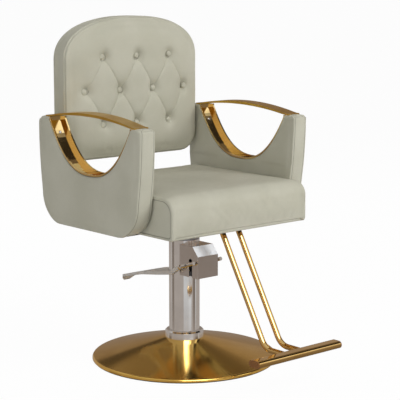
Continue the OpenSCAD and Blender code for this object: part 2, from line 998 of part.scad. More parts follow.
// Profile of the seat in Y and Z, drawn in by an inset, with its crown at a station across the width
function seat_ring(x, inset) =
    let (front = -seat_front + inset, rear = seat_rear - inset,
         low = seat_z + inset, high = seat_z + seat_h - inset,
         foot_r = seam_r / 2, heel_r = nose_r / 2,
         mid = (seat_rear - seat_front) / 2, half = (seat_front + seat_rear) / 2,
         across = 1 - pow(2 * x / seat_w, 4))
    [for (p = concat(
            arc_points([front + foot_r, low + foot_r], foot_r, 270, 180, 2),
            between([front, low + foot_r], [front, high - nose_r], 2),
            arc_points([front + nose_r, high - nose_r], nose_r, 180, 90, 5),
            between([front + nose_r, high], [rear - heel_r, high], 8),
            arc_points([rear - heel_r, high - heel_r], heel_r, 90, 0, 3),
            arc_points([rear - foot_r, low + foot_r], foot_r, 0, -90, 2)))
        let (along = 1 - pow((p[0] - mid) / half, 4), up = (p[1] - seat_z) / seat_h)
        [x, p[0] - (p[0] < mid ? seat_crown / 2 * across * up * (1 - up) * 2 : 0),
         p[1] + (up > 1 / 2 ? seat_crown * across * max(along, 0) : 0)]];

module seat_cushion() {
    edge = [for (a = [0, 45, 90]) seam_r * [1 - sin(a), 1 - cos(a)]];
    inner = seat_w / 2 - seam_r;
    rings = concat(
        [for (e = edge) seat_ring(-seat_w / 2 + e[1], e[0])],
        [for (x = between([-inner], [inner], 13)) seat_ring(x[0], 0)],
        [for (i = [2, 1, 0]) seat_ring(seat_w / 2 - edge[i][1], edge[i][0])]);
    color(leather)
        difference() {
            loft(rings);
            seat_board_shape(seat_gap, seat_z - overrun, board_t + overrun + seat_gap);
        }
}

// ARMS

// A point of an arm in Y and Z, let down as the arm's top falls to the front
function lowered(p) =
    let (forward = (arm_rear - p[0]) / (arm_rear + arm_front), up = (p[1] - seat_z) / arm_h)
    [p[0], p[1] - top_fall * forward * up];

// Outer edge of an arm in Y and Z: down the rear, along the foot, up the front
function edge_line(a, b, out, steps) =
    [for (i = [1:steps])
        a + (b - a) * i / steps + out * arm_bulge * sin(180 * i / steps)];

function arm_outer() =
    let (rear_top = [arm_rear, opening_rim_z],
         rear_low = [arm_rear - rear_lean, seat_z + rear_corner_r],
         rear_foot = [rear_low[0] - rear_corner_r, seat_z],
         front_low = [-arm_front + front_lean, seat_z + front_corner_r],
         front_foot = [front_low[0] + front_corner_r, seat_z],
         front_top = [-arm_front, opening_rim_z])
    [for (p = concat(
        [rear_top], edge_line(rear_top, rear_low, [1, 0], side_steps),
        [for (i = [1:corner_steps])
            let (a = -90 * i / corner_steps)
            [rear_foot[0], rear_low[1]] + rear_corner_r * [cos(a), sin(a)]],
        between(rear_foot, front_foot, foot_steps - 1), [front_foot],
        [for (i = [1:corner_steps])
            let (a = -90 - 90 * i / corner_steps)
            [front_foot[0], front_low[1]] + front_corner_r * [cos(a), sin(a)]],
        edge_line(front_low, front_top, [-1, 0], side_steps))) lowered(p)];

// Lower edge of the arm opening, from its rear tip at 1 to its front tip at -1
function opening_point(t) =
    lowered([opening_y + opening_l / 2 * t,
             opening_rim_z - opening_drop * (1 - pow(abs(t), opening_power))]);

// Direction from that edge into the opening
function opening_normal(t) =
    let (step = 0.001, d = opening_point(t + step) - opening_point(t - step))
    [-d[1], d[0]] / norm(d);

function arm_inner() = [for (k = [0:station_count]) opening_point(cos(180 * k / station_count))];

// A closed rounded rectangle, with extra points along its two long sides
function ring_section(w, h, r, fills) =
    let (a = w / 2 - r, b = h / 2 - r)
    concat(
        arc_points([a, b], r, 0, 90, 2), between([a, h / 2], [-a, h / 2], fills),
        arc_points([-a, b], r, 90, 180, 2),
        arc_points([-a, -b], r, 180, 270, 2), between([-a, -h / 2], [a, -h / 2], fills),
        arc_points([a, -b], r, 270, 360, 2));

function arm_ring(outer, inner, inset, rise) =
    let (d = inner - outer, span = norm(d), u = d / span, mid = (outer + inner) / 2,
         w = span - 2 * inset, h = arm_t - 2 * inset, r = seam_r - inset / 2)
    [for (q = ring_section(w, h, r, 2))
        let (swell = arm_crown * (1 - pow(2 * q[0] / w, 2)))
        [arm_mid_x + q[1] + (q[1] > 0 ? swell * 2 * q[1] / h : 0),
         mid[0] + u[0] * q[0], mid[1] + u[1] * q[0] + rise]];

module arm_board_shape(spread, foot) {
    outer = arm_outer();
    inner = arm_inner();
    inset = board_inset - spread;
    turn = side_steps + corner_steps;
    low_y = -arm_front + front_lean + front_corner_r - spread;
    high_y = arm_rear - rear_lean - rear_corner_r + spread;
    rim = spread > 0 ? overrun + spread : 0;
    along = function (k, at, by) at[k] + (inner[k] - outer[k]) / norm(inner[k] - outer[k]) * by;
    translate([arm_mid_x, 0, 0])
        side_extrude(board_t + 2 * spread)
            polygon(concat(
                [for (k = [1:turn - 1]) along(k, outer, inset)],
                [[high_y, seat_z + inset], [high_y, seat_z - foot]],
                [[low_y, seat_z - foot], [low_y, seat_z + inset]],
                [for (k = [station_count - turn + 1:station_count - 1]) along(k, outer, inset)],
                [for (k = [station_count - 1:-1:1]) along(k, inner, rim)]));
}

module arm_board() {
    color(plywood)
        difference() {
            arm_board_shape(0, 0);
            bar_places(seat_z - overrun)
                cylinder(r = bar_bolt_r + fit, h = bolt_bite + 2 * overrun);
            trim_pocket();
            trim_screw_places(-trim_screw_l - overrun)
                cylinder(r = trim_screw_r + fit, h = trim_screw_l + 2 * overrun);
            for (z = stud_z)
                translate([arm_mid_x - board_t / 2 + stud_arm_bite / 2, stud_y, z])
                    x_cylinder(stud_r + fit, stud_arm_bite + 2 * seat_gap);
        }
}

module arm_pad() {
    outer = arm_outer();
    inner = arm_inner();
    last = station_count;
    edge = [for (a = [0, 45]) seam_r * [1 - sin(a), cos(a)]];
    rings = concat(
        [for (e = edge) arm_ring(outer[0], inner[0], e[0] * 3 / 4, e[1])],
        [for (k = [0:last]) arm_ring(outer[k], inner[k], 0, 0)],
        [for (i = [1, 0]) arm_ring(outer[last], inner[last], edge[i][0] * 3 / 4, edge[i][1])]);
    color(leather)
        difference() {
            loft(rings);
            arm_board_shape(seat_gap, overrun);
            trim_pocket();
            for (z = stud_z)
                translate([arm_x, stud_y, z])
                    x_cylinder(stud_r + seat_gap, arm_t);
        }
}

// Frame at the trim's web: Z points into the opening
module trim_screw_places(z) {
    for (t = trim_screw_shares)
        translate([arm_mid_x, opening_point(t)[0], opening_point(t)[1]])
            rotate([-atan2(opening_normal(t)[0], opening_normal(t)[1]), 0, 0])
                translate([0, 0, z - trim_depth])
                    children();
}

// A point at a distance from the opening's edge, and the end over it past the arm's top
function edge_offset(t, by) = opening_point(t) + by * opening_normal(t);
function edge_end(t, by, past) = lowered([edge_offset(t, by)[0], arm_top + past]);

function opening_band(low, high, past) =
    let (ts = [for (i = [0:trim_steps]) -cos(180 * i / trim_steps)])
    concat(
        [edge_end(-1, low, past)], [for (t = ts) edge_offset(t, low)], [edge_end(1, low, past)],
        [edge_end(1, high, past)], [for (i = [trim_steps:-1:0]) edge_offset(ts[i], high)],
        [edge_end(-1, high, past)]);

// A layer of a width along the opening, between two distances from its edge
module opening_layer(width, low, high, past) {
    translate([arm_mid_x, 0, 0])
        side_extrude(width)
            polygon(opening_band(low, high, past));
}

trim_groove_w = trim_w - 2 * trim_lip;
trim_channel_w = trim_groove_w + 2 * trim_web;

module arm_trim() {
    color(gold)
        difference() {
            union() {
                opening_layer(trim_w, seat_gap, trim_lip, 0);
                opening_layer(trim_channel_w, -trim_depth, trim_lip, 0);
            }
            opening_layer(trim_groove_w, trim_web - trim_depth, trim_lip + 2 * overrun, overrun);
            trim_screw_places(-overrun)
                cylinder(r = trim_screw_r + fit, h = trim_web + 2 * overrun);
        }
}

// Room for the trim's channel in the arm
module trim_pocket() {
    opening_layer(trim_channel_w + 2 * seat_gap, -trim_depth - seat_gap, trim_lip + overrun, 2 * overrun);
}

module trim_screws() {
    color(chrome)
        trim_screw_places(trim_web + seat_gap)
            rotate([180, 0, 0]) {
                cylinder(r = trim_screw_r, h = trim_screw_l);
                translate([0, 0, -trim_screw_head_h])
                    cylinder(r1 = trim_screw_head_r / 2, r2 = trim_screw_head_r, h = trim_screw_head_h);
            }
}

module handle() {
    half = opening_l / 2 + handle_over;
    land = handle_land_share;
    foot = arm_top + seat_gap;
    ts = [for (i = [0:handle_steps]) -1 + 2 * i / handle_steps];
    low = [for (t = ts) lowered(
        [opening_y + handle_shift + half * t, foot + handle_rise * max(0, 1 - pow(t / land, 2))])];
    thick = [for (t = ts) handle_end_t + (handle_t - handle_end_t) * (1 - t * t)];
    color(gold)
        translate([arm_mid_x, 0, 0])
            side_extrude(handle_w)
                polygon(concat(
                    low,
                    [for (i = [handle_steps:-1:0]) low[i] + [0, thick[i]]]));
}

// BACK

// Half width of the back at a height above its foot
function back_half(z) =
    let (r = back_corner_r, s = max(0, (z - back_h + shoulder_h) / shoulder_h))
    z < r
        ? back_w / 2 - r + sqrt(r * r - pow(r - z, 2))
        : back_w / 2 * max(top_flat_share, pow(1 - pow(min(s, 1), shoulder_power), 1 / shoulder_power));

top_row_z = button_low + 2 * row_gap;
back_rows = concat(
    [for (s = low_row_shares) s * button_low],
    [for (i = [0:2 * row_splits]) button_low + i * row_gap / row_splits],
    [for (s = high_row_shares) top_row_z + s * (back_h - top_row_z)]);
back_columns = [for (i = [-column_count:column_count])
    abs(i) < column_count ? i * button_gap / 2 / column_splits : sign(i) * back_w / 2];

// Buttons in three rows: the middle row has one more
button_spots = concat(
    [for (i = [-1:1]) [i * button_gap, button_low]],
    [for (i = [-1.5, -0.5, 0.5, 1.5]) [i * button_gap, button_low + row_gap]],
    [for (i = [-1:1]) [i * button_gap, top_row_z]]);

// Folds run between neighbouring buttons of adjoining rows
button_folds = [for (a = button_spots, b = button_spots)
    if (b[1] > a[1] && b[1] - a[1] < 1.5 * row_gap && abs(b[0] - a[0]) < button_gap) [a, b]];

function segment_distance(p, a, b) =
    let (d = b - a, t = max(0, min(1, (p - a) * d / (d * d))))
    norm(p - a - t * d);

// Height of the back's front over its edge plane
function back_rise(x, z) =
    let (across = 1 - pow(min(1, abs(x) / back_half(z)), 4),
         up = 1 - pow(min(1, abs(2 * z / back_h - 1)), 6),
         dimple = max([for (b = button_spots) exp(-pow(norm([x, z] - b) / tuft_spread, 2))]),
         fold = max([for (f = button_folds)
             exp(-pow(segment_distance([x, z], f[0], f[1]) / fold_spread, 2))]))
    back_crown * across * up - (tuft_depth - fold_depth) * dimple - fold_depth * fold * across * up;

// Outline of the back in X and Z above its foot, drawn in by an inset, from its lower left corner
function back_loop(inset) =
    let (rows = len(back_rows) - 1,
         scale_x = 1 - 2 * inset / back_w, scale_z = 1 - 2 * inset / back_h)
    [for (p = concat(
            [for (x = back_columns) [x * back_half(0) * 2 / back_w, 0]],
            [for (j = [1:rows - 1]) [back_half(back_rows[j]), back_rows[j]]],
            [for (i = [2 * column_count:-1:0])
                [back_columns[i] * back_half(back_h) * 2 / back_w, back_h]],
            [for (j = [rows - 1:-1:1]) [-back_half(back_rows[j]), back_rows[j]]]))
        [p[0] * scale_x, back_h / 2 + (p[1] - back_h / 2) * scale_z]];

function back_ring(inset, y) = [for (p = back_loop(inset)) [p[0], y, back_z + p[1]]];

module back_cushion() {
    rows = len(back_rows) - 1;
    columns = 2 * column_count;
    depth = back_t - back_panel_t;
    rings = [
        back_ring(seam_r, back_y), back_ring(seam_r / 3, back_y + seam_r / 3),
        back_ring(0, back_y + seam_r), back_ring(seam_r / 5, back_y + depth / 2),
        back_ring(0, back_y + depth - seam_r), back_ring(seam_r / 3, back_y + depth)];
    count = len(rings[0]);
    last = len(rings) - 1;
    grid = (last + 1) * count;
    inner_columns = columns - 1;
    // Number of the point at a column and row: a ring point on the border, a grid point inside
    function at(i, j) =
        j == 0 ? i
        : i == columns && j < rows ? columns + j
        : j == rows ? columns + rows + columns - i
        : i == 0 ? count - j
        : grid + (j - 1) * inner_columns + i - 1;
    inside = [for (j = [1:rows - 1], i = [1:columns - 1])
        let (z = back_rows[j], x = back_columns[i] * back_half(z) * 2 / back_w)
        [x, back_y - back_rise(x, z), back_z + z]];
    points = concat([for (ring = rings) each ring], inside, [centre_of(rings[last])]);
    faces = concat(
        [for (k = [0:last - 1]) each band(k * count, (k + 1) * count, count)],
        fan(last * count, count, len(points) - 1, true),
        [for (j = [0:rows - 1], i = [0:columns - 1])
            each [[at(i, j), at(i + 1, j), at(i + 1, j + 1)], [at(i, j), at(i + 1, j + 1), at(i, j + 1)]]]);
    color(leather)
        difference() {
            solid(points, faces);
            back_board_shape(seat_gap, back_board_y - seat_gap, back_t);
            stud_places()
                x_cylinder(stud_r + seat_gap, 2 * board_inset + stud_bite);
        }
}

module back_board_shape(spread, y, depth) {
    translate([0, y, back_z])
        rotate([90, 0, 0])
            translate([0, 0, -depth])
                linear_extrude(depth)
                    polygon(back_loop(board_inset - spread));
}

module stud_places() {
    both_sides()
        for (z = stud_z)
            translate([back_w / 2, stud_y, z])
                children();
}

module back_board() {
    color(plywood)
        difference() {
            back_board_shape(0, back_board_y, board_t);
            stud_places()
                x_cylinder(stud_r + fit, 2 * (board_inset + stud_bite));
        }
}

module back_studs() {
    inner = back_w / 2 - board_inset - stud_bite + seat_gap;
    outer = arm_mid_x - board_t / 2 + stud_arm_bite;
    color(steel)
        both_sides()
            for (z = stud_z)
                translate([(inner + outer) / 2, stud_y, z])
                    x_cylinder(stud_r, outer - inner);
}

module back_buttons() {
    color(leather)
        for (b = button_spots)
            translate([b[0], back_y - back_rise(b[0], b[1]) - seat_gap, back_z + b[1]])
                rotate([90, 0, 0])
                    rotate_extrude($fn = 24)
                        polygon([
                            [0, 0], [button_r, button_h],
                            [button_r * button_rim_share, button_h * button_dome_shares[0]],
                            [button_r * button_face_share, button_h * button_dome_shares[1]],
                            [0, button_h * button_dome_shares[2]]]);
}

module back_panel() {
    front = back_board_y + board_t + seat_gap;
    lip = back_y + back_t - back_panel_t + seat_gap;
    plug = board_inset + seat_gap;
    color(leather)
        loft([
            back_ring(plug, front), back_ring(plug, lip), back_ring(seam_r / 4, lip),
            back_ring(seam_r / 4, back_y + back_t - seam_r / 2),
            back_ring(seam_r, back_y + back_t)]);
}

// FOOTREST

module footrest_places(z) {
    for (x = [-1, 1], y = [-1, 1])
        translate([
            x * (foot_plate_w / 2 - edge_margin),
            -foot_plate_y + y * (foot_plate_d / 2 - edge_margin), z])
            children();
}

// The footrest's plate under the seat board, let out sideways by a clearance and down past its face
module footrest_plate_shape(spread, past) {
    translate([-foot_plate_w / 2 - spread, -foot_plate_y - foot_plate_d / 2 - spread, seat_z - past])
        cube([foot_plate_w + 2 * spread, foot_plate_d + 2 * spread, plate_t + past]);
}

module footrest_plate() {
    color(iron)
        difference() {
            footrest_plate_shape(0, 0);
            footrest_places(seat_z - overrun)
                cylinder(r = plate_bolt_r + fit, h = plate_t + 2 * overrun);
        }
}

module footrest_bolts() {
    color(steel)
        footrest_places(seat_z)
            bolt(plate_bolt_r, plate_t + bolt_bite, plate_bolt_head_r, plate_bolt_head_h);
}

module hollow_stretch(l) {
    difference() {
        cylinder(r = foot_tube_r, h = l);
        translate([0, 0, -overrun])
            cylinder(r = foot_tube_r - foot_wall, h = l + 2 * overrun);
    }
}

module hollow_bend(turn) {
    difference() {
        rotate_extrude(angle = turn)
            translate([foot_bend_r, 0])
                circle(r = foot_tube_r);
        rotate_extrude(angle = turn)
            translate([foot_bend_r, 0])
                circle(r = foot_tube_r - foot_wall);
    }
}

// A tube in the plane of its bend: forward to the bar, and up to the plate
module footrest_tube() {
    bend_turn = 90 - foot_lean;
    tangent = foot_bend_r * tan(bend_turn / 2);
    corner_y = foot_top_y + (seat_z - foot_bar_z) * tan(foot_lean);
    upright = (seat_z - foot_bar_z) / cos(foot_lean) - tangent + foot_tube_r;
    color(gold)
        difference() {
            translate([foot_tube_x, -corner_y - tangent, foot_bar_z + foot_bend_r])
                rotate([90, 0, 90])
                    rotate([0, 0, -90]) {
                        hollow_bend(bend_turn);
                        translate([foot_bend_r, 0, 0])
                            rotate([90, 0, 0])
                                hollow_stretch(foot_bar_y - corner_y - tangent);
                        rotate([0, 0, bend_turn])
                            translate([foot_bend_r, 0, 0])
                                rotate([-90, 0, 0])
                                    hollow_stretch(upright);
                    }
            translate([0, -foot_top_y - foot_plate_d, seat_z])
                cube([foot_plate_w, 2 * foot_plate_d, foot_plate_d]);
            oval_bar(foot_bar_l, 0);
        }
}

// A flat oval along X at the foot bar's place
module oval_bar(length, wall) {
    r = foot_bar_h / 2;
    translate([0, -foot_bar_y, foot_bar_z])
        side_extrude(length) {
            square([foot_bar_d - 2 * r, foot_bar_h - 2 * wall], center = true);
            for (side = [-1, 1])
                translate([side * (foot_bar_d / 2 - r), 0])
                    circle(r = r - wall);
        }
}

module foot_bar() {
    color(gold)
        difference() {
            oval_bar(foot_bar_l - 2 * bar_cap_t, 0);
            oval_bar(foot_bar_l, foot_wall);
        }
}

module bar_caps() {
    color(gold)
        both_sides()
            intersection() {
                union() {
                    difference() {
                        oval_bar(foot_bar_l, 0);
                        cube([foot_bar_l - 2 * bar_cap_t, 4 * foot_bar_y, 4 * foot_bar_z], center = true);
                    }
                    oval_bar(foot_bar_l, foot_wall + fit);
                }
                translate([foot_bar_l / 2 - bar_cap_t - bar_plug_l, -2 * foot_bar_y, 0])
                    cube([foot_bar_l, 2 * foot_bar_y, 2 * foot_bar_z]);
            }
}

base_cover();
base_disc();
floor_ring();
base_bolts();
pump_flange();
base_collar();
pump_tube();
pump_cylinder();
foot_valve();
valve_ball();
tube_head();
ram_bush();
ram_wiper();
pump_block();
pump_cover();
lever_shaft();
crank_arm();
lever_rods();
lever_nuts();
lever_yoke();
plunger();
plunger_spring();
ram();
piston();
piston_seal();
bearing_lower_race();
bearing_balls();
hub_washer();
hub_screw();
bearing_upper_race();
seat_bracket();
bracket_bolts();
cross_bars();
cross_bar_bolts();
seat_board();
seat_cushion();
arm_board();  // left_arm_board
arm_pad();  // left_arm_pad
arm_trim();  // left_arm_trim
trim_screws();  // left_trim_screws
handle();  // left_handle
mirror([1, 0, 0]) arm_board();  // right_arm_board
mirror([1, 0, 0]) arm_pad();  // right_arm_pad
mirror([1, 0, 0]) arm_trim();  // right_arm_trim
mirror([1, 0, 0]) trim_screws();  // right_trim_screws
mirror([1, 0, 0]) handle();  // right_handle
back_board();
back_studs();
back_cushion();
back_buttons();
back_panel();
footrest_plate();
footrest_bolts();
footrest_tube();  // left_footrest_tube
mirror([1, 0, 0]) footrest_tube();  // right_footrest_tube
foot_bar();
bar_caps();
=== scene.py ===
import json
import math

import bmesh
import bpy
import numpy as np
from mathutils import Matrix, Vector, kdtree, noise


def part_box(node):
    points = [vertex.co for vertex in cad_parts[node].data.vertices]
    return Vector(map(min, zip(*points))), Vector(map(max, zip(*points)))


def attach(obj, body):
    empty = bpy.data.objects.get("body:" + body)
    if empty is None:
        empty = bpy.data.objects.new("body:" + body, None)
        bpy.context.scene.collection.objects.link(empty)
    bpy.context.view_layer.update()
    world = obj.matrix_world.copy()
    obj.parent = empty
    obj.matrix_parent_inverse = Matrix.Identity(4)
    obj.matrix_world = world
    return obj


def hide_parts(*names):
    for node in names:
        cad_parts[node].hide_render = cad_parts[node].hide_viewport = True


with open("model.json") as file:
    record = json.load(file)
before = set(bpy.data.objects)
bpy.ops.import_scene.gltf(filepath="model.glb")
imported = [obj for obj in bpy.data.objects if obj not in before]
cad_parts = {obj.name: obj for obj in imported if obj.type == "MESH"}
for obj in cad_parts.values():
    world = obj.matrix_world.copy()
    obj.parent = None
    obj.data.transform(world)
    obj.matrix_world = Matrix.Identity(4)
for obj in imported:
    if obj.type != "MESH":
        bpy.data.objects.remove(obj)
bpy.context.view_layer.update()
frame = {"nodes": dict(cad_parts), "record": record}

NODES = frame["nodes"]
MM = 0.001
WHITE = (1, 1, 1, 1)


def linear(red, green, blue):
    """A colour given in steps of 0 to 255, as the shader's linear values."""
    def one(step):
        share = step / 255
        return share / 12.92 if share <= 0.04045 else ((share + 0.055) / 1.055) ** 2.4
    return one(red), one(green), one(blue), 1.0


# Camera, as fitted to the photograph
CAMERA_PLACE = (-2.47621, -2.92839, 1.10498)
CAMERA_TURN = math.radians(40.8974)
CAMERA_FALL = math.radians(9.4707)
SENSOR = 36.0
LENS = 121.68


def add_camera():
    data = bpy.data.cameras.new("camera")
    data.sensor_width = SENSOR
    data.lens = LENS
    camera = bpy.data.objects.new("camera", data)
    camera.location = CAMERA_PLACE
    camera.rotation_euler = (math.pi / 2 - CAMERA_FALL, 0, -CAMERA_TURN)
    bpy.context.scene.collection.objects.link(camera)
    bpy.context.scene.camera = camera


add_camera()


# Shader helpers
def shader_node(tree, kind, values=None, **settings):
    """Adds a shader node, sets its properties, and fills or links its inputs."""
    node = tree.nodes.new(kind)
    for key, value in settings.items():
        setattr(node, key, value)
    for key, value in (values or {}).items():
        if isinstance(value, bpy.types.NodeSocket):
            tree.links.new(value, node.inputs[key])
        else:
            node.inputs[key].default_value = value
    return node


def math_node(tree, operation, first, second):
    return shader_node(tree, "ShaderNodeMath", {0: first, 1: second}, operation=operation).outputs[0]


def ramp(tree, value, low, high, to_low=0.0, to_high=1.0):
    """Turns a range of values smoothly into another, and holds its ends."""
    return shader_node(tree, "ShaderNodeMapRange", {
        "Value": value, "From Min": low, "From Max": high, "To Min": to_low, "To Max": to_high,
    }, interpolation_type="SMOOTHSTEP").outputs["Result"]


def mix_colour(tree, share, first, second):
    node = shader_node(tree, "ShaderNodeMix", data_type="RGBA")
    sockets = [s for s in node.inputs if s.enabled and s.name in ("Factor", "A", "B")]
    for socket, value in zip(sockets, (share, first, second)):
        if isinstance(value, bpy.types.NodeSocket):
            tree.links.new(value, socket)
        else:
            socket.default_value = value
    return next(s for s in node.outputs if s.enabled)


def bump_node(tree, height, depth, strength, **more):
    values = {"Height": height, "Distance": depth, "Strength": strength, **more}
    return shader_node(tree, "ShaderNodeBump", values)


def start_material(name):
    material = bpy.data.materials.new(name)
    material.use_nodes = True
    tree = material.node_tree
    shader = tree.nodes["Principled BSDF"]
    place = shader_node(tree, "ShaderNodeTexCoord").outputs["Object"]
    return material, tree, shader, place


def link_surface(tree, shader, tone, rough, bump):
    tree.links.new(tone, shader.inputs["Base Color"])
    tree.links.new(rough, shader.inputs["Roughness"])
    tree.links.new(bump.outputs[0], shader.inputs["Normal"])


# Noise stays mostly between these two levels
NOISE_LOW = 0.3
NOISE_HIGH = 0.7


def noise_value(tree, place, scale, detail=2.0, stretch=(1, 1, 1)):
    mapping = shader_node(tree, "ShaderNodeMapping", {"Vector": place, "Scale": stretch})
    return shader_node(tree, "ShaderNodeTexNoise", {
        "Vector": mapping.outputs[0], "Scale": scale, "Detail": detail}).outputs["Fac"]


def noise_ramp(tree, value, to_low=0.0, to_high=1.0):
    """Turns the usual levels of a noise into a range."""
    return ramp(tree, value, NOISE_LOW, NOISE_HIGH, to_low, to_high)


# Metals
SMUDGE_SCALE = 14.0
SMUDGE_LOW = 0.35
METAL_BUMP = 0.4


def metal(name, light, dark, roughness, spread, brush=(1, 1, 1), brush_scale=400.0, brush_depth=0.000002,
          edge=0.0005):
    """A metal with smudges, a fine brushed or rolled surface and slightly rounded edges."""
    material, tree, shader, place = start_material(name)
    smudge = noise_value(tree, place, SMUDGE_SCALE, detail=4.0)
    fine = noise_value(tree, place, brush_scale, stretch=brush)
    tone = mix_colour(tree, ramp(tree, smudge, SMUDGE_LOW, NOISE_HIGH), light, dark)
    rough = math_node(tree, "ADD", noise_ramp(tree, smudge, roughness - spread, roughness + spread),
                      noise_ramp(tree, fine, -spread / 2, spread / 2))
    rounded = shader_node(tree, "ShaderNodeBevel", {"Radius": edge}, samples=4).outputs[0]
    bump = bump_node(tree, fine, brush_depth, METAL_BUMP, Normal=rounded)
    shader.inputs["Metallic"].default_value = 1.0
    link_surface(tree, shader, tone, rough, bump)
    return material


# Painted, cast, moulded and wooden surfaces
STAIN_SIZE = 20
STAIN_SPREAD = 0.08
PLAIN_BUMP = 0.6


def plain(name, light, dark, roughness, scale, depth, stretch=(1, 1, 1), metallic=0.0):
    """A surface with its own grain and wider stains in its gloss."""
    material, tree, shader, place = start_material(name)
    grain = noise_value(tree, place, scale, detail=6.0, stretch=stretch)
    stain = noise_value(tree, place, scale / STAIN_SIZE, detail=3.0, stretch=stretch)
    tone = mix_colour(tree, noise_ramp(tree, grain), light, dark)
    rough = noise_ramp(tree, stain, roughness - STAIN_SPREAD, roughness + STAIN_SPREAD)
    shader.inputs["Metallic"].default_value = metallic
    link_surface(tree, shader, tone, rough, bump_node(tree, grain, depth, PLAIN_BUMP))
    return material


# Leather, with painted shade in the grain's grooves and dark seam lines that are partly painted shade
LEATHER_LIGHT = linear(189, 187, 171)
LEATHER_DARK = linear(181, 179, 162)
GROOVE_SHADE_TONE = linear(120, 118, 103)
SEAM_AND_SHADE_TONE = linear(70, 68, 58)
LEATHER_GRAIN = 620.0
LEATHER_PORE = 1500.0
LEATHER_WAVE = 60.0
LEATHER_BLOTCH = 9.0
CELL_RANDOM = 0.9
PEBBLE_WIDTH = 0.25
GROOVE_WIDTH = 0.6
GROOVE_SHADE = 0.12
PORE_SHARE = 0.35
SEAM_EDGES = (0.45, 0.95)
SEAM_AND_SHADE_DARK = 0.72
LEATHER_ROUGH = (0.42, 0.5)
GROOVE_ROUGH = 0.08
LEATHER_DEPTH = 0.00012
LEATHER_BUMP = 0.45
LEATHER_SPECULAR = 0.45
SEAM_AND_SHADE_ATTRIBUTE = "seam_and_shade"


def leather_material():
    """Soft smooth leather: pebbled grain with painted shade in its grooves, fine pores, faint blotches, and
    dark seam lines that are partly painted shade.
    """
    material, tree, shader, place = start_material("leather")
    wave = noise_value(tree, place, LEATHER_WAVE, detail=3.0)
    cells = shader_node(tree, "ShaderNodeTexVoronoi", {
        "Vector": place, "Scale": LEATHER_GRAIN, "Randomness": CELL_RANDOM}, feature="DISTANCE_TO_EDGE")
    pores = noise_value(tree, place, LEATHER_PORE)
    blotch = noise_value(tree, place, LEATHER_BLOTCH, detail=4.0)
    pebble = ramp(tree, cells.outputs["Distance"], 0.0, PEBBLE_WIDTH)
    groove_shade = ramp(tree, pebble, 0.0, GROOVE_WIDTH, GROOVE_SHADE, 0.0)
    seam_and_shade = shader_node(tree, "ShaderNodeAttribute", attribute_name=SEAM_AND_SHADE_ATTRIBUTE).outputs["Fac"]
    tone = mix_colour(tree, noise_ramp(tree, blotch), LEATHER_LIGHT, LEATHER_DARK)
    # Painted shade in the grooves of the grain.
    tone = mix_colour(tree, groove_shade, tone, GROOVE_SHADE_TONE)
    # Dark seam lines: partly the seam's own line, partly painted shade in the drawn-in seams and round the
    # buttons.
    tone = mix_colour(tree, ramp(tree, seam_and_shade, *SEAM_EDGES, 0.0, SEAM_AND_SHADE_DARK), tone, SEAM_AND_SHADE_TONE)
    rough = math_node(tree, "ADD", noise_ramp(tree, wave, *LEATHER_ROUGH),
                      ramp(tree, pebble, 0, 1, GROOVE_ROUGH, 0.0))
    height = math_node(tree, "ADD", pebble, math_node(tree, "MULTIPLY", pores, PORE_SHARE))
    link_surface(tree, shader, tone, rough, bump_node(tree, height, LEATHER_DEPTH, LEATHER_BUMP))
    shader.inputs["Specular IOR Level"].default_value = LEATHER_SPECULAR
    return material


LEATHER = leather_material()
GOLD = metal("gold", linear(238, 200, 130), linear(230, 190, 118), 0.06, 0.015)
GOLD_SATIN = metal("gold_satin", linear(218, 176, 84), linear(208, 164, 74), 0.34, 0.04,
                   brush=(1, 0.04, 1), brush_scale=900.0, brush_depth=0.00003)
GOLD_SPUN = metal("gold_spun", linear(238, 196, 106), linear(230, 186, 94), 0.13, 0.02,
                  brush=(0.2, 0.2, 1), brush_scale=500.0, brush_depth=0.00001)
GOLD_TRIM = metal("gold_trim", linear(244, 214, 152), linear(238, 206, 142), 0.09, 0.02)
CHROME = metal("chrome", linear(232, 231, 230), linear(224, 223, 222), 0.1, 0.02)
STEEL = metal("steel", linear(176, 178, 182), linear(158, 160, 165), 0.32, 0.06,
              brush_scale=700.0, brush_depth=0.00002)
BRONZE = metal("bronze", linear(190, 150, 92), linear(160, 122, 70), 0.36, 0.06, brush_depth=0.00002)
COVER = metal("cover_grey", linear(240, 236, 234), linear(230, 226, 224), 0.2, 0.03,
              brush_scale=800.0, brush_depth=0.00001, edge=0.001)
IRON = plain("iron", linear(62, 62, 64), linear(48, 48, 50), 0.62, 500.0, 0.0003)
RUBBER = plain("rubber", linear(34, 34, 35), linear(26, 26, 27), 0.8, 1200.0, 0.0001)
PLYWOOD = plain("plywood", linear(205, 172, 122), linear(176, 138, 90), 0.7, 120.0, 0.0001,
                stretch=(0.15, 1, 6))
LEVER = plain("lever", linear(222, 221, 218), linear(214, 213, 210), 0.44, 300.0, 0.0000005,
              metallic=0.45)
CAP = plain("cap", linear(146, 98, 54), linear(130, 86, 46), 0.36, 800.0, 0.000002, metallic=0.3)

# The pump cover's slope, the only face that looks up and to the front. A highlight is painted on it as a
# pale, rougher, less metallic tone.
SLOPE_NORMAL = (0, -0.756, 0.655)
SLOPE_EDGES = (0.9, 0.97)
SLOPE_METAL = 0.1
SLOPE_ROUGH = 0.45
SLOPE_HIGHLIGHT_TONE = linear(196, 200, 204)


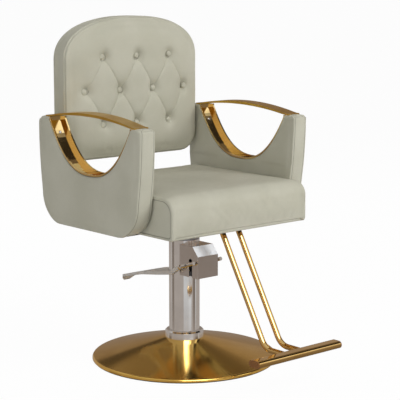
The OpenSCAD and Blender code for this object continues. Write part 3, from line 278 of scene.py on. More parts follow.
def paint_slope_highlight(material):
    """Paints a highlight on the slope: a pale tone, rougher and less metallic than the rest of the cover."""
    tree = material.node_tree
    shader = tree.nodes["Principled BSDF"]
    turn = shader_node(tree, "ShaderNodeTexCoord").outputs["Normal"]
    facing = shader_node(tree, "ShaderNodeVectorMath", {0: turn, 1: SLOPE_NORMAL},
                         operation="DOT_PRODUCT").outputs[1]
    on_slope = ramp(tree, facing, *SLOPE_EDGES)
    tone = shader.inputs["Base Color"].links[0].from_socket
    rough = shader.inputs["Roughness"].links[0].from_socket
    rougher = math_node(tree, "ADD", rough, math_node(tree, "MULTIPLY", on_slope, SLOPE_ROUGH))
    # The pale tone on the slope is a painted highlight.
    tree.links.new(mix_colour(tree, on_slope, tone, SLOPE_HIGHLIGHT_TONE), shader.inputs["Base Color"])
    tree.links.new(ramp(tree, facing, *SLOPE_EDGES, 1.0, SLOPE_METAL), shader.inputs["Metallic"])
    tree.links.new(rougher, shader.inputs["Roughness"])


paint_slope_highlight(COVER)

# The record's slots, and the nodes that look different from the rest of their slot
SLOT_MATERIALS = {
    "gold": GOLD, "chrome": CHROME, "cover_grey": COVER, "steel": STEEL, "iron": IRON,
    "bronze": BRONZE, "rubber": RUBBER, "plywood": PLYWOOD, "leather": LEATHER,
}
NODE_MATERIALS = {
    "left_handle": GOLD_SATIN, "right_handle": GOLD_SATIN, "base_cover": GOLD_SPUN, "bar_caps": CAP,
    "left_arm_trim": GOLD_TRIM, "right_arm_trim": GOLD_TRIM, "lever_yoke": LEVER,
    "lever_rods": CHROME, "lever_nuts": CHROME,
}


def dress_cad_nodes():
    for part in frame["record"]["subparts"]:
        name = part["node"]
        data = NODES[name].data
        data.materials.clear()
        data.materials.append(NODE_MATERIALS.get(name, SLOT_MATERIALS[part["material_slot"]]))


dress_cad_nodes()

# Floor: nearly white to the camera, pale grey to everything else
FLOOR_SIZE = 400.0
FLOOR_GLOW = 0.965
FLOOR_GRAIN = 3.0
FLOOR_GREYS = (0.84, 0.88)


def seen_share(tree, path):
    """1 for the rays that the camera sees directly or through something clear."""
    return math_node(tree, "MAXIMUM", path.outputs["Is Camera Ray"], path.outputs["Is Transmission Ray"])


def add_floor():
    half = FLOOR_SIZE / 2
    mesh = bpy.data.meshes.new("floor")
    mesh.from_pydata([(-half, -half, 0), (half, -half, 0), (half, half, 0), (-half, half, 0)], [],
                     [(0, 1, 2, 3)])
    floor = bpy.data.objects.new("floor", mesh)
    bpy.context.scene.collection.objects.link(floor)
    floor.visible_glossy = False
    material = bpy.data.materials.new("floor")
    material.use_nodes = True
    tree = material.node_tree
    tree.nodes.clear()
    grain = shader_node(tree, "ShaderNodeTexNoise", {"Scale": FLOOR_GRAIN})
    tone = noise_ramp(tree, grain.outputs["Fac"], *FLOOR_GREYS)
    matt = shader_node(tree, "ShaderNodeBsdfDiffuse", {"Color": tone})
    glow = shader_node(tree, "ShaderNodeEmission", {"Strength": 1.0})
    path = shader_node(tree, "ShaderNodeLightPath")
    share = math_node(tree, "MULTIPLY", seen_share(tree, path), FLOOR_GLOW)
    mix = shader_node(tree, "ShaderNodeMixShader", {0: share, 1: matt.outputs[0], 2: glow.outputs[0]})
    out = shader_node(tree, "ShaderNodeOutputMaterial")
    tree.links.new(mix.outputs[0], out.inputs["Surface"])
    mesh.materials.append(material)


# What polished metal reflects: a dark floor, a dim level room and a bright ceiling, with panels on them.
# A panel has a heading and half width in degrees, a lowest and highest elevation, and a brightness.
AMBIENT = 0.33
FLOOR_TONE = 0.2
ROOM_TONE = 0.44
CEILING_TONE = 0.62
FLOOR_EDGES = (-24, -14)
CEILING_EDGES = (28, 55)
PANELS = [
    (136, 10, -14, 2, 0.22),
    (119, 6, -14, 2, 0.5),
    (255, 30, -14, 2, 0.66),
    (272, 9, -14, 2, 0.74),
    (309, 9, -14, 2, 0.2),
    (325, 4, -14, 2, 0.62),
    (49, 17, -14, 10, 0.27),
    (58, 9, 10, 22, 0.27),
    (58, 9, 22, 31, 0.08),
    (40, 8, 10, 33, 0.34),
    (49, 15, 30, 50, 0.2),
    (22, 23, 34, 60, 0.13),
    (341, 18, 33, 60, 0.03),
    (317, 7, 24, 42, 1.2),
    (252, 26, 30, 60, 2.6),
    (246, 18, 32, 60, 6.6),
]
PANEL_EDGE = 1.5
WARM_TONE = (1.0, 0.82, 0.68, 1.0)
WARM_BELOW = (0.25, 0.7)


def height_of(elevation):
    """Height of a direction with a length of 1, from its elevation in degrees."""
    return math.sin(math.radians(elevation))


def panel_mask(tree, level, up, heading, half, low, high):
    """1 in the directions of a panel, with soft edges."""
    edge = height_of(PANEL_EDGE)
    aim = (math.cos(math.radians(heading)), math.sin(math.radians(heading)), 0)
    near = shader_node(tree, "ShaderNodeVectorMath", {0: level, 1: aim}, operation="DOT_PRODUCT").outputs[1]
    across = ramp(tree, near, math.cos(math.radians(half + PANEL_EDGE)), math.cos(math.radians(half)))
    bottom = ramp(tree, up, height_of(low) - edge, height_of(low))
    top = ramp(tree, up, height_of(high), height_of(high) + edge, 1.0, 0.0)
    return math_node(tree, "MULTIPLY", across, math_node(tree, "MULTIPLY", bottom, top))


def mirrored_room(tree):
    """The brightness and the tint of what polished metal reflects, by direction."""
    way = shader_node(tree, "ShaderNodeTexCoord").outputs["Generated"]
    up = shader_node(tree, "ShaderNodeSeparateXYZ", {0: way}).outputs[2]
    flat = shader_node(tree, "ShaderNodeVectorMath", {0: way, 1: (1, 1, 0)}, operation="MULTIPLY").outputs[0]
    level = shader_node(tree, "ShaderNodeVectorMath", {0: flat}, operation="NORMALIZE").outputs[0]
    floor_low, floor_high = (height_of(edge) for edge in FLOOR_EDGES)
    ceiling_low, ceiling_high = (height_of(edge) for edge in CEILING_EDGES)
    value = math_node(tree, "ADD", ramp(tree, up, floor_low, floor_high, FLOOR_TONE, ROOM_TONE),
                      ramp(tree, up, ceiling_low, ceiling_high, 0.0, CEILING_TONE - ROOM_TONE))
    for heading, half, low, high, brightness in PANELS:
        mask = panel_mask(tree, level, up, heading, half, low, high)
        value = shader_node(tree, "ShaderNodeMix", {0: mask, 2: value, 3: brightness}).outputs[0]
    return value, mix_colour(tree, ramp(tree, value, *WARM_BELOW), WARM_TONE, WHITE)


def add_world():
    """White to the camera, the mirrored room to glossy rays, and an even grey light to the rest."""
    world = bpy.data.worlds.new("studio")
    bpy.context.scene.world = world
    world.use_nodes = True
    tree = world.node_tree
    tree.nodes.clear()
    value, tint = mirrored_room(tree)
    path = shader_node(tree, "ShaderNodeLightPath")
    mirror = shader_node(tree, "ShaderNodeBackground", {"Color": tint, "Strength": value})
    soft = shader_node(tree, "ShaderNodeBackground", {"Color": WHITE, "Strength": AMBIENT})
    white = shader_node(tree, "ShaderNodeBackground", {"Color": WHITE, "Strength": 1.0})
    other = shader_node(tree, "ShaderNodeMixShader", {
        0: path.outputs["Is Glossy Ray"], 1: soft.outputs[0], 2: mirror.outputs[0]})
    mix = shader_node(tree, "ShaderNodeMixShader", {
        0: seen_share(tree, path), 1: other.outputs[0], 2: white.outputs[0]})
    out = shader_node(tree, "ShaderNodeOutputWorld")
    tree.links.new(mix.outputs[0], out.inputs["Surface"])


def add_lamp(name, place, target, size, power, node=None, state="INCLUDE"):
    """A square lamp that metal doesn't mirror. If a node is named, it lights only that or skips it."""
    data = bpy.data.lights.new(name, "AREA")
    data.shape = "RECTANGLE"
    data.size = size
    data.size_y = size
    data.energy = power
    lamp = bpy.data.objects.new(name, data)
    lamp.location = place
    lamp.rotation_euler = (Vector(target) - Vector(place)).to_track_quat("-Z", "Y").to_euler()
    lamp.visible_glossy = False
    bpy.context.scene.collection.objects.link(lamp)
    if node:
        linked = bpy.data.collections.new(name + "_lights")
        linked.objects.link(NODES[node])
        linked.collection_objects[0].light_linking.link_state = state
        lamp.light_linking.receiver_collection = linked


CHAIR_MIDDLE = (0, 0, 0.5)
COVER_PLACE = (0, 0, 0.35)

add_floor()
add_world()
add_lamp("key", (1.7, -3.5, 2.7), CHAIR_MIDDLE, size=2.2, power=128, node="pump_cover", state="EXCLUDE")
add_lamp("fill", (-3.6, -1.3, 2.4), CHAIR_MIDDLE, size=2.6, power=42)
add_lamp("rear", (0.9, 3.4, 2.7), CHAIR_MIDDLE, size=2.4, power=55)
add_lamp("accent", (0.6, -2.6, 0.75), COVER_PLACE, size=0.6, power=100, node="pump_cover")


# Mesh helpers
def ring_faces(rows, count):
    """Quads through rows of closed rings of the same count."""
    index = np.arange(rows * count).reshape(rows, count)
    low, high = index[:-1], index[1:]
    return np.stack([low, np.roll(low, -1, 1), np.roll(high, -1, 1), high], -1).reshape(-1, 4)


def grid_faces(index):
    """Quads over a grid of point numbers."""
    return np.stack([index[:-1, :-1], index[:-1, 1:], index[1:, 1:], index[1:, :-1]], -1).reshape(-1, 4)


MERGE = 0.02 * MM


def build_piece(name, points, faces, gaps, body, replaces):
    """A smooth leather piece from points and quads, with each point's distance to the nearest seam."""
    mesh = bpy.data.meshes.new(name)
    mesh.from_pydata(points.tolist(), [], faces.tolist())
    layer = mesh.attributes.new("gap", "FLOAT", "POINT")
    layer.data.foreach_set("value", gaps.astype(np.float32))
    shape = bmesh.new()
    shape.from_mesh(mesh)
    bmesh.ops.remove_doubles(shape, verts=shape.verts, dist=MERGE)
    bmesh.ops.dissolve_degenerate(shape, edges=shape.edges, dist=MERGE)
    bmesh.ops.recalc_face_normals(shape, faces=shape.faces)
    shape.to_mesh(mesh)
    shape.free()
    piece = bpy.data.objects.new(name, mesh)
    bpy.context.scene.collection.objects.link(piece)
    mesh.materials.append(LEATHER)
    for polygon in mesh.polygons:
        polygon.use_smooth = True
    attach(piece, body)
    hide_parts(*replaces)
    return piece


def coordinates(mesh):
    flat = np.empty(len(mesh.vertices) * 3)
    mesh.vertices.foreach_get("co", flat)
    return flat.reshape(-1, 3)


def normals(mesh):
    flat = np.empty(len(mesh.vertices) * 3, np.float32)
    mesh.vertex_normals.foreach_get("vector", flat)
    return flat.reshape(-1, 3)


def seam_gaps(mesh):
    """Each point's distance to the nearest seam, as build_piece kept it."""
    gaps = np.empty(len(mesh.vertices), np.float32)
    mesh.attributes["gap"].data.foreach_get("value", gaps)
    return gaps


def place_points(mesh, points):
    mesh.vertices.foreach_set("co", points.ravel())
    mesh.update()


SEAM_DEPTH = 1.6 * MM
SEAM_SPREAD = 2.6 * MM
SEAM_LINE = 1.3 * MM
RIPPLE = 0.25 * MM
RIPPLE_SIZE = 0.055


def sew(piece, depth=SEAM_DEPTH, spread=SEAM_SPREAD, ripple=RIPPLE, tone=1.0):
    """Draws the leather in along the seams, lets it wander a little, and marks the seam lines, which the
    leather darkens partly as the seam's line and partly as painted shade in its groove.
    """
    mesh = piece.data
    gaps = seam_gaps(mesh)
    points = coordinates(mesh)
    wander = np.array([noise.noise(Vector(p) / RIPPLE_SIZE) for p in points])
    shift = -depth * np.exp(-(gaps / spread) ** 2) + ripple * wander
    place_points(mesh, points + normals(mesh) * shift[:, None])
    # The mark that darkens the seam lines, partly as painted shade.
    mark = mesh.attributes.new(SEAM_AND_SHADE_ATTRIBUTE, "FLOAT", "POINT")
    mark.data.foreach_set("value", (tone * np.exp(-(gaps / SEAM_LINE) ** 2)).astype(np.float32))
    mesh.attributes.remove(mesh.attributes["gap"])


# Stuffing: a coarse copy of a cover is blown up as cloth, and its swell is carried over to the cover.
CLOTH_VOXEL = 6 * MM
CLOTH_PRESSURE = 4.0
CLOTH_FRAMES = 20
CLOTH_NEAR = 4
SEAM_HOLD = 14 * MM


def coarse_copy(piece):
    """A closed copy of a cover in even voxels."""
    copy = bpy.data.objects.new(piece.name + "_stuffing", piece.data.copy())
    bpy.context.scene.collection.objects.link(copy)
    voxels = copy.modifiers.new("voxels", "REMESH")
    voxels.mode = "VOXEL"
    voxels.voxel_size = CLOTH_VOXEL
    graph = bpy.context.evaluated_depsgraph_get()
    coarse = bpy.data.meshes.new_from_object(copy.evaluated_get(graph))
    copy.modifiers.clear()
    copy.data = coarse
    return copy


def blow_up(copy):
    """The mesh of a coarse copy after its simulation under pressure."""
    cloth = copy.modifiers.new("cloth", "CLOTH")
    cloth.settings.use_pressure = True
    cloth.settings.uniform_pressure_force = CLOTH_PRESSURE
    cloth.settings.effector_weights.gravity = 0
    cloth.point_cache.frame_start = 1
    cloth.point_cache.frame_end = CLOTH_FRAMES
    for number in range(1, CLOTH_FRAMES + 1):
        bpy.context.scene.frame_set(number)
    graph = bpy.context.evaluated_depsgraph_get()
    return bpy.data.meshes.new_from_object(copy.evaluated_get(graph))


def inflate(piece, cap, slack, share):
    """Swells a cover by up to cap, from a shape smaller by slack; share says how much each point may."""
    mesh = piece.data
    points, out = coordinates(mesh), normals(mesh)
    copy = coarse_copy(piece)
    coarse = copy.data
    swollen = blow_up(copy)
    before = coordinates(coarse)
    move = coordinates(swollen) - before
    length = np.linalg.norm(move, axis=1)
    move *= (cap * (1 - np.exp(-length / cap)) / np.maximum(length, MERGE))[:, None]
    tree = kdtree.KDTree(len(before))
    for number, place in enumerate(before):
        tree.insert(place, number)
    tree.balance()
    swell = np.zeros(len(points))
    for number, place in enumerate(points):
        near = tree.find_n(place, CLOTH_NEAR)
        weights = np.array([1 / (gap + MERGE) for _, _, gap in near])
        swell[number] = weights @ (move[[index for _, index, _ in near]] @ out[number]) / weights.sum()
    held = share(points, out) * (1 - np.exp(-(seam_gaps(mesh) / SEAM_HOLD) ** 2))
    place_points(mesh, points + out * (held * (swell - slack))[:, None])
    bpy.data.objects.remove(copy)
    bpy.data.meshes.remove(coarse)
    bpy.data.meshes.remove(swollen)
    bpy.context.scene.frame_set(1)


# Seat cushion: radii of its outline and edges, and the crown that the front and the top bulge by
NOSE_R = 38 * MM
HEEL_R = 19 * MM
FOOT_R = 9 * MM
EDGE_R = 8 * MM
SEAT_CROWN = 7 * MM
CROWN_POWER = 4
SIDE_SWELL = 1.6 * MM
SIDE_HOLD = 12 * MM
SEAT_SWELL = 6 * MM
BOARD_INSET = 15 * MM
BOARD_GAP = 0.3 * MM
BOARD_T = 18 * MM
SEAT_STEP = 4 * MM
NOSE_STEP = 3 * MM
NOSE_STEPS = 20
HEEL_STEPS = 10
FOOT_STEPS = 8
SIDE_RINGS = 14
EDGE_RINGS = 7


def line_points(a, b, step):
    """Points from a to b, without b, about a step apart."""
    a, b = np.array(a, float), np.array(b, float)
    count = max(2, int(round(np.linalg.norm(b - a) / step)))
    return [a + (b - a) * i / count for i in range(count)]


def arc(centre, r, start, end, count):
    """Points along an arc in degrees, without its end."""
    angles = [math.radians(start + (end - start) * i / count) for i in range(count)]
    return [np.array(centre) + r * np.array([math.cos(a), math.sin(a)]) for a in angles]


def seat_profile(front, rear, foot, top):
    """The cushion from the side: up its front, over the nose, along its top, down its rear and back."""
    return np.array(
        arc((front + FOOT_R, foot + FOOT_R), FOOT_R, 270, 180, FOOT_STEPS)
        + line_points((front, foot + FOOT_R), (front, top - NOSE_R), NOSE_STEP)
        + arc((front + NOSE_R, top - NOSE_R), NOSE_R, 180, 90, NOSE_STEPS)
        + line_points((front + NOSE_R, top), (rear - HEEL_R, top), SEAT_STEP)
        + arc((rear - HEEL_R, top - HEEL_R), HEEL_R, 90, 0, HEEL_STEPS)
        + line_points((rear, top - HEEL_R), (rear, foot + FOOT_R), SEAT_STEP)
        + arc((rear - FOOT_R, foot + FOOT_R), FOOT_R, 0, -90, FOOT_STEPS)
        + line_points((rear - FOOT_R, foot), (front + FOOT_R, foot), SEAT_STEP))


def add_seat():
    """The cushion as rings across its width: right side, its edge, the middle, left edge and left side."""
    low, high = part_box("seat_cushion")
    half = high.x
    # At mid height the crown adds a quarter of its own height to the front
    front, rear = low.y + SEAT_CROWN / 4, high.y
    foot, top = low.z, high.z - SEAT_CROWN
    height = top - foot
    base = seat_profile(front, rear, foot, top)
    count = len(base)
    middle = np.array([(front + rear) / 2, (foot + top) / 2])
    span = np.array([rear - front, height])
    # The line along the middle of a flat side, which its rings close on
    medial = np.stack([np.clip(base[:, 0], front + height / 2, rear - height / 2),
                       np.full(count, middle[1])], 1)
    rings, gaps = [], []

    def add(x, flat, gap):
        across = 1 - min(1, abs(x) / half) ** CROWN_POWER
        y, z = flat[:, 0].copy(), flat[:, 1].copy()
        along = np.clip(1 - np.abs((y - middle[0]) / (span[0] / 2)) ** CROWN_POWER, 0, 1)
        rise = (z - foot) / height
        y -= np.where(y < middle[0], SEAT_CROWN * across * rise * (1 - rise), 0)
        z += np.where(rise > 0.5, SEAT_CROWN * across * along, 0)
        rings.append(np.stack([np.full(count, x), y, z], 1))
        gaps.append(np.full(count, gap))

    def drawn_in(inset):
        return middle + (base - middle) * (span - 2 * inset) / span

    def add_edge(angle, way):
        """A ring of the round edge of a side; way is -1 on the right and 1 on the left."""
        a = math.radians(angle)
        add(way * (half - EDGE_R * (1 - math.cos(a))), drawn_in(EDGE_R * (1 - math.sin(a))), EDGE_R * a)

    sides = []
    for i in range(SIDE_RINGS, 0, -1):
        share = i / SIDE_RINGS
        x = half - SIDE_SWELL + SIDE_SWELL * (1 - (1 - share) ** 2)
        flat = drawn_in(EDGE_R) * (1 - share) + medial * share
        sides.append((x, flat, share * (height / 2 - EDGE_R)))
    for x, flat, gap in sides:
        add(-x, flat, gap)
    for angle in np.linspace(0, 90, EDGE_RINGS):
        add_edge(angle, -1)
    inner = half - EDGE_R
    steps = int(round(2 * inner / SEAT_STEP))
    for i in range(1, steps):
        x = -inner + 2 * inner * i / steps
        add(x, base, inner - abs(x) + EDGE_R * math.pi / 2)
    for angle in np.linspace(90, 0, EDGE_RINGS):
        add_edge(angle, 1)
    for x, flat, gap in reversed(sides):
        add(x, flat, gap)
    points = np.concatenate(rings)
    # The underside leaves room for the seat board
    room = BOARD_INSET - BOARD_GAP
    under = ((points[:, 2] < foot + MM) & (np.abs(points[:, 0]) < half - room)
             & (points[:, 1] > front + room) & (points[:, 1] < rear - room))
    points[under, 2] += BOARD_T + BOARD_GAP
    piece = build_piece("seat_upholstery", points, ring_faces(len(rings), count), np.concatenate(gaps),
                        body="seat", replaces=["seat_cushion"])

    def share(places, out):
        """The top and the front may swell, and the sides stay."""
        inward = np.clip((half - np.abs(places[:, 0])) / SIDE_HOLD - 0.5, 0, 1)
        return inward * np.clip(2 * np.maximum(out[:, 2], -out[:, 1]), 0, 1)

    inflate(piece, SEAT_SWELL, SEAT_SWELL / 2, share)
    sew(piece)


add_seat()

# Arms, in the CAD frame's Y and Z. Their front and rear lean in downward and bulge.
ARM_FRONT = 187 * MM
ARM_REAR = 282 * MM
ARM_H = 300 * MM
ARM_T = 61 * MM
ARM_FRONT_LEAN = 17 * MM
ARM_REAR_LEAN = 14 * MM
ARM_BULGE = 4 * MM
# The outer face bulges, the arm is thinner at its outer edge, and the band along that edge is crowned
ARM_SWELL = 4 * MM
ROLL_SHARE = 0.1
ROLL_WIDTH = 30 * MM
BAND_CROWN = 2 * MM
# The stuffing swells the outer face, and the inner face above a share of the height
ARM_PUFF = 4 * MM
ARM_FREE_ABOVE = 0.5
FRONT_CORNER_R = 92 * MM
REAR_CORNER_R = 80 * MM
TOP_REAR_R = 25 * MM
TOP_FRONT_R = 12 * MM
TOP_FALL = 5.5 * MM
CAP_CROWN = 2.5 * MM
CAP_INSET = 0.75 * EDGE_R
# The opening, with a pocket that the trim lies in
OPENING_Y = 37.5 * MM
OPENING_HALF = 186 * MM
OPENING_DROP = 140 * MM
OPENING_POWER = 2.5
OPENING_R = 3 * MM
POCKET_HALF = 24.8 * MM
POCKET_DEPTH = 9.3 * MM
POCKET_LEDGE = 3 * MM
# The outer foot edge hangs down, less and less up to its reach and toward the middle of the thickness
FOOT_SAG = 4 * MM
FOOT_REACH = 45 * MM
FOOT_FREE = 8 * MM
EDGE_STATIONS = 56
FOOT_STATIONS = 42
FACE_STEPS = 30
BAND_STEPS = 14
TURN_STEPS = 6
CAP_STEPS = 8
SEAT_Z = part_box("seat_board")[0].z
ARM_RIM = SEAT_Z + ARM_H - EDGE_R


def lowered(p):
    """A point of an arm, let down as the arm's top falls to the front."""
    forward = (ARM_REAR - p[0]) / (ARM_REAR + ARM_FRONT)
    return np.array([p[0], p[1] - TOP_FALL * forward * (p[1] - SEAT_Z) / ARM_H])


def bowed(a, b, out):
    """Points from a to b, without a, bulging outward."""
    a, b = np.array(a), np.array(b)
    shares = [i / EDGE_STATIONS for i in range(1, EDGE_STATIONS + 1)]
    return [a + (b - a) * share + np.array(out) * ARM_BULGE * math.sin(math.pi * share) for share in shares]


def quarter_turn(centre, r, start):
    """Points round a clockwise quarter circle, without its first; start counts quarters."""
    angles = [-math.pi / 2 * (start + i / EDGE_STATIONS) for i in range(1, EDGE_STATIONS + 1)]
    return [np.array(centre) + r * np.array([math.cos(a), math.sin(a)]) for a in angles]


def arm_outer():
    """The arm's edge, from its rear top down, along its foot and up to its front top."""
    rear_top, rear_low = (ARM_REAR, ARM_RIM), (ARM_REAR - ARM_REAR_LEAN, SEAT_Z + REAR_CORNER_R)
    front_top, front_low = (-ARM_FRONT, ARM_RIM), (-ARM_FRONT + ARM_FRONT_LEAN, SEAT_Z + FRONT_CORNER_R)
    rear_foot = rear_low[0] - REAR_CORNER_R
    front_foot = front_low[0] + FRONT_CORNER_R
    foot = [np.array([rear_foot + (front_foot - rear_foot) * i / FOOT_STATIONS, SEAT_Z])
            for i in range(1, FOOT_STATIONS + 1)]
    points = ([np.array(rear_top)]
              + bowed(rear_top, rear_low, (1, 0))
              + quarter_turn((rear_foot, rear_low[1]), REAR_CORNER_R, 0)
              + foot
              + quarter_turn((front_foot, front_low[1]), FRONT_CORNER_R, 1)
              + bowed(front_low, front_top, (-1, 0)))
    return [lowered(p) for p in points]


def arm_inner(count):
    """The opening's edge from its rear to its front, with a point for each point of the outer edge."""
    points = []
    for k in range(count + 1):
        t = math.cos(math.pi * k / count)
        drop = OPENING_DROP * (1 - abs(t) ** OPENING_POWER)
        points.append(lowered((OPENING_Y + OPENING_HALF * t, ARM_RIM - drop)))
    return points


TURN = [(1 - math.cos(a), 1 - math.sin(a)) for a in np.linspace(0, math.pi / 2, TURN_STEPS + 1)]


def arm_section(width, pocket):
    """Points round the arm: distance from the outer edge, place across the thickness, gap to a seam."""
    half = ARM_T / 2
    flat = half - EDGE_R
    band, face = [], []
    for i in range(BAND_STEPS + 1):
        across = flat * (2 * i / BAND_STEPS - 1)
        band.append((0.0, across, flat - abs(across)))
    for i, (inward, down) in enumerate(TURN[1:], 1):
        face.append((EDGE_R * inward, half - EDGE_R * down, EDGE_R * math.pi / 2 * i / TURN_STEPS))
    for i in range(1, FACE_STEPS):
        reach = EDGE_R + (width - EDGE_R - OPENING_R) * i / FACE_STEPS
        face.append((reach, half, reach - EDGE_R + EDGE_R * math.pi / 2))
    for inward, down in reversed(TURN):
        face.append((width - OPENING_R * inward, half - OPENING_R * down, width))
    face += [(width, POCKET_HALF, width), (width - pocket, POCKET_HALF, width)]
    mirrored = [(reach, -across, gap) for reach, across, gap in reversed(face)]
    return band + face + mirrored


def foot_sag(across, z):
    """How far the arm's outer foot edge hangs down."""
    low_share = min(1.0, max(0.0, (SEAT_Z + FOOT_REACH - z) / FOOT_REACH))
    out_share = min(1.0, max(0.0, (across - FOOT_FREE) / (ARM_T / 2 - EDGE_R - FOOT_FREE)))
    return FOOT_SAG * low_share ** 3 * math.sin(math.pi / 2 * out_share) ** 2


def round_corner(points, tip, way, r):
    """Draws an upper corner in from a square to a circle; way is 1 at the rear and -1 at the front."""
    across = way * (points[..., 1] - tip[0]) + r
    up = points[..., 2] - tip[1] + r
    inside = (across > 0) & (up > 0)
    reach = np.hypot(across, up)
    share = np.where(inside, np.maximum(across, up) / np.maximum(reach, MERGE), 1)
    points[..., 1] += np.where(inside, way * across * (share - 1), 0)
    points[..., 2] += np.where(inside, up * (share - 1), 0)


def add_arm(side, name):
    """An arm as rings from its rear top, round under its opening, to its front top, closed by caps."""
    outer = arm_outer()
    last = len(outer) - 1
    inner = arm_inner(last)
    low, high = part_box(name + "_arm_board")
    middle_x = abs(low.x + high.x) / 2
    rings, gaps = [], []

    def add(k, inset=0, rise=0, shrink=1.0, crown=0.0):
        """Adds the ring at a point of the edge. Inset and shrink make it smaller, rise and crown lift it."""
        width = np.linalg.norm(inner[k] - outer[k])
        way = (inner[k] - outer[k]) / width
        section = arm_section(width, POCKET_DEPTH if shrink == 1 else POCKET_LEDGE)
        points = []
        for reach, across, _ in section:
            panel = max(0.0, 1 - (2 * (reach / width) - 1) ** 2)
            spread = max(0.0, 1 - (2 * across / ARM_T) ** 2)
            thick = across
            if across > POCKET_HALF:
                thick += ARM_SWELL * panel * (2 * across / ARM_T)
            over = -BAND_CROWN * spread if reach < EDGE_R else 0.0
            roll = max(0.0, 1 - max(0.0, reach - EDGE_R) / ROLL_WIDTH)
            thick *= (1 - 2 * inset / ARM_T) * shrink * (1 - ROLL_SHARE * roll ** 2)
            along = (reach - width / 2) * (1 - 2 * inset / width) * shrink + width / 2 + over
            y, z = outer[k] + way * along
            z -= foot_sag(across, z)
            points.append((side * (middle_x + thick), y, z + rise + crown))
        rings.append(points)
        gaps.append([gap for _, _, gap in section])

    shrinks = [1 - i / CAP_STEPS for i in range(CAP_STEPS + 1)]
    crowns = [(CAP_INSET, EDGE_R, shrink, CAP_CROWN * (1 - shrink ** 2)) for shrink in shrinks]
    edges = [(CAP_INSET * (1 - math.cos(a)), EDGE_R * math.sin(a))
             for a in np.linspace(math.pi / 2, 0, TURN_STEPS + 1)[1:-1]]
    for ring in crowns[::-1] + edges:
        add(0, *ring)
    for k in range(last + 1):
        add(k)
    for ring in edges[::-1] + crowns:
        add(last, *ring)
    points = np.array(rings)
    faces = ring_faces(len(rings), points.shape[1])
    front_tip = (-ARM_FRONT, lowered((-ARM_FRONT, SEAT_Z + ARM_H))[1] + CAP_CROWN)
    round_corner(points, (ARM_REAR, SEAT_Z + ARM_H + CAP_CROWN), 1, TOP_REAR_R)
    round_corner(points, front_tip, -1, TOP_FRONT_R)
    piece = build_piece(name + "_arm_upholstery", points.reshape(-1, 3), faces, np.array(gaps).ravel(),
                        body="seat", replaces=[name + "_arm_pad"])

    def share(places, out):
        """The outer face may swell, and the inner one only beside the opening."""
        level = np.clip((places[:, 2] - SEAT_Z) / ARM_H, 0, 1)
        free = np.where(side * out[:, 0] > 0, 1, level > ARM_FREE_ABOVE)
        return np.clip(2 * np.abs(out[:, 0]), 0, 1) * free

    inflate(piece, ARM_PUFF, ARM_PUFF / 2, share)
    sew(piece)


add_arm(1, "left")
add_arm(-1, "right")

# Back, measured from its foot
BACK_FRONT_Y = 231 * MM
BACK_CORNER_R = 60 * MM
SHOULDER_H = 125 * MM
SHOULDER_POWER = 2.3
TOP_FLAT_SHARE = 0.3
BACK_CROWN = 25 * MM
SIDE_POWER = 4
TOP_POWER = 6
BACK_PUFF = 5 * MM
BACK_SEAM_IN = 10 * MM
BACK_SEAM_DEPTH = 0.7 * MM
BACK_SEAM_SPREAD = 1.6 * MM
BACK_SEAM_AND_SHADE_TONE = 0.95
BACK_SEAM_SOFT = 0.8 * MM
BACK_SIDE_BOW = EDGE_R / 5
BACK_REAR_IN = EDGE_R / 2
BACK_ROWS = 208
BACK_COLUMNS = 248
BACK_EDGE_RINGS = 6
BACK_SIDE_RINGS = 9
BACK_REAR_RINGS = 7
FAR_FROM_SEAM = 1.0

# Tufts: a wide dimple with a narrow core at each button, and folds with a fine crease between buttons
TUFT_DEPTH = 17 * MM
TUFT_SPREAD = 26 * MM
CORE_SHARE = 0.5
CORE_NARROWER = 2
FOLD_DEPTH = 3 * MM
FOLD_SPREAD = 12 * MM
CREASE_DEPTH = 2.4 * MM
CREASE_SPREAD = 2.2 * MM
BUTTON_R = 10 * MM
BUTTON_H = 11 * MM
BUTTON_GAP = 125 * MM
BUTTON_LOW = 100 * MM
ROW_GAP = 100 * MM

BACK_LOW, BACK_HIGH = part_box("back_cushion")
BACK_W = BACK_HIGH.x - BACK_LOW.x
BACK_H = BACK_HIGH.z - BACK_LOW.z
ROW_HEIGHTS = np.linspace(0, BACK_H, BACK_ROWS + 1)
COLUMN_SHARES = np.linspace(-1, 1, BACK_COLUMNS + 1)

BUTTON_SPOTS = (
    [(i * BUTTON_GAP, BUTTON_LOW) for i in (-1, 0, 1)]
    + [(i * BUTTON_GAP, BUTTON_LOW + ROW_GAP) for i in (-1.5, -0.5, 0.5, 1.5)]
    + [(i * BUTTON_GAP, BUTTON_LOW + 2 * ROW_GAP) for i in (-1, 0, 1)])
# A fold runs between each two neighbours in rows next to each other
BUTTON_FOLDS = [(a, b) for a in BUTTON_SPOTS for b in BUTTON_SPOTS
                if 0 < b[1] - a[1] < 1.5 * ROW_GAP and abs(a[0] - b[0]) < BUTTON_GAP]


def back_half(z):
    """Half width of the back at heights above its foot."""
    r = BACK_CORNER_R
    z = np.asarray(z, float)
    low = BACK_W / 2 - r + np.sqrt(np.clip(r * r - np.clip(r - z, 0, r) ** 2, 0, None))
    s = np.clip((z - BACK_H + SHOULDER_H) / SHOULDER_H, 0, 1)
    high = BACK_W / 2 * np.maximum(TOP_FLAT_SHARE, (1 - s ** SHOULDER_POWER) ** (1 / SHOULDER_POWER))
    return np.where(z < r, low, high)


def top_z(x):
    """Height of the back's rounded top edge at places across it."""
    share = np.clip(np.abs(x) / (BACK_W / 2), 0, 1)
    return BACK_H - SHOULDER_H * (1 - (1 - share ** SHOULDER_POWER) ** (1 / SHOULDER_POWER))


def fold_gap(x, z, a, b):
    """Distance to the fold between two buttons."""
    dx, dz = b[0] - a[0], b[1] - a[1]
    t = np.clip(((x - a[0]) * dx + (z - a[1]) * dz) / (dx * dx + dz * dz), 0, 1)
    return np.hypot(x - a[0] - t * dx, z - a[1] - t * dz)


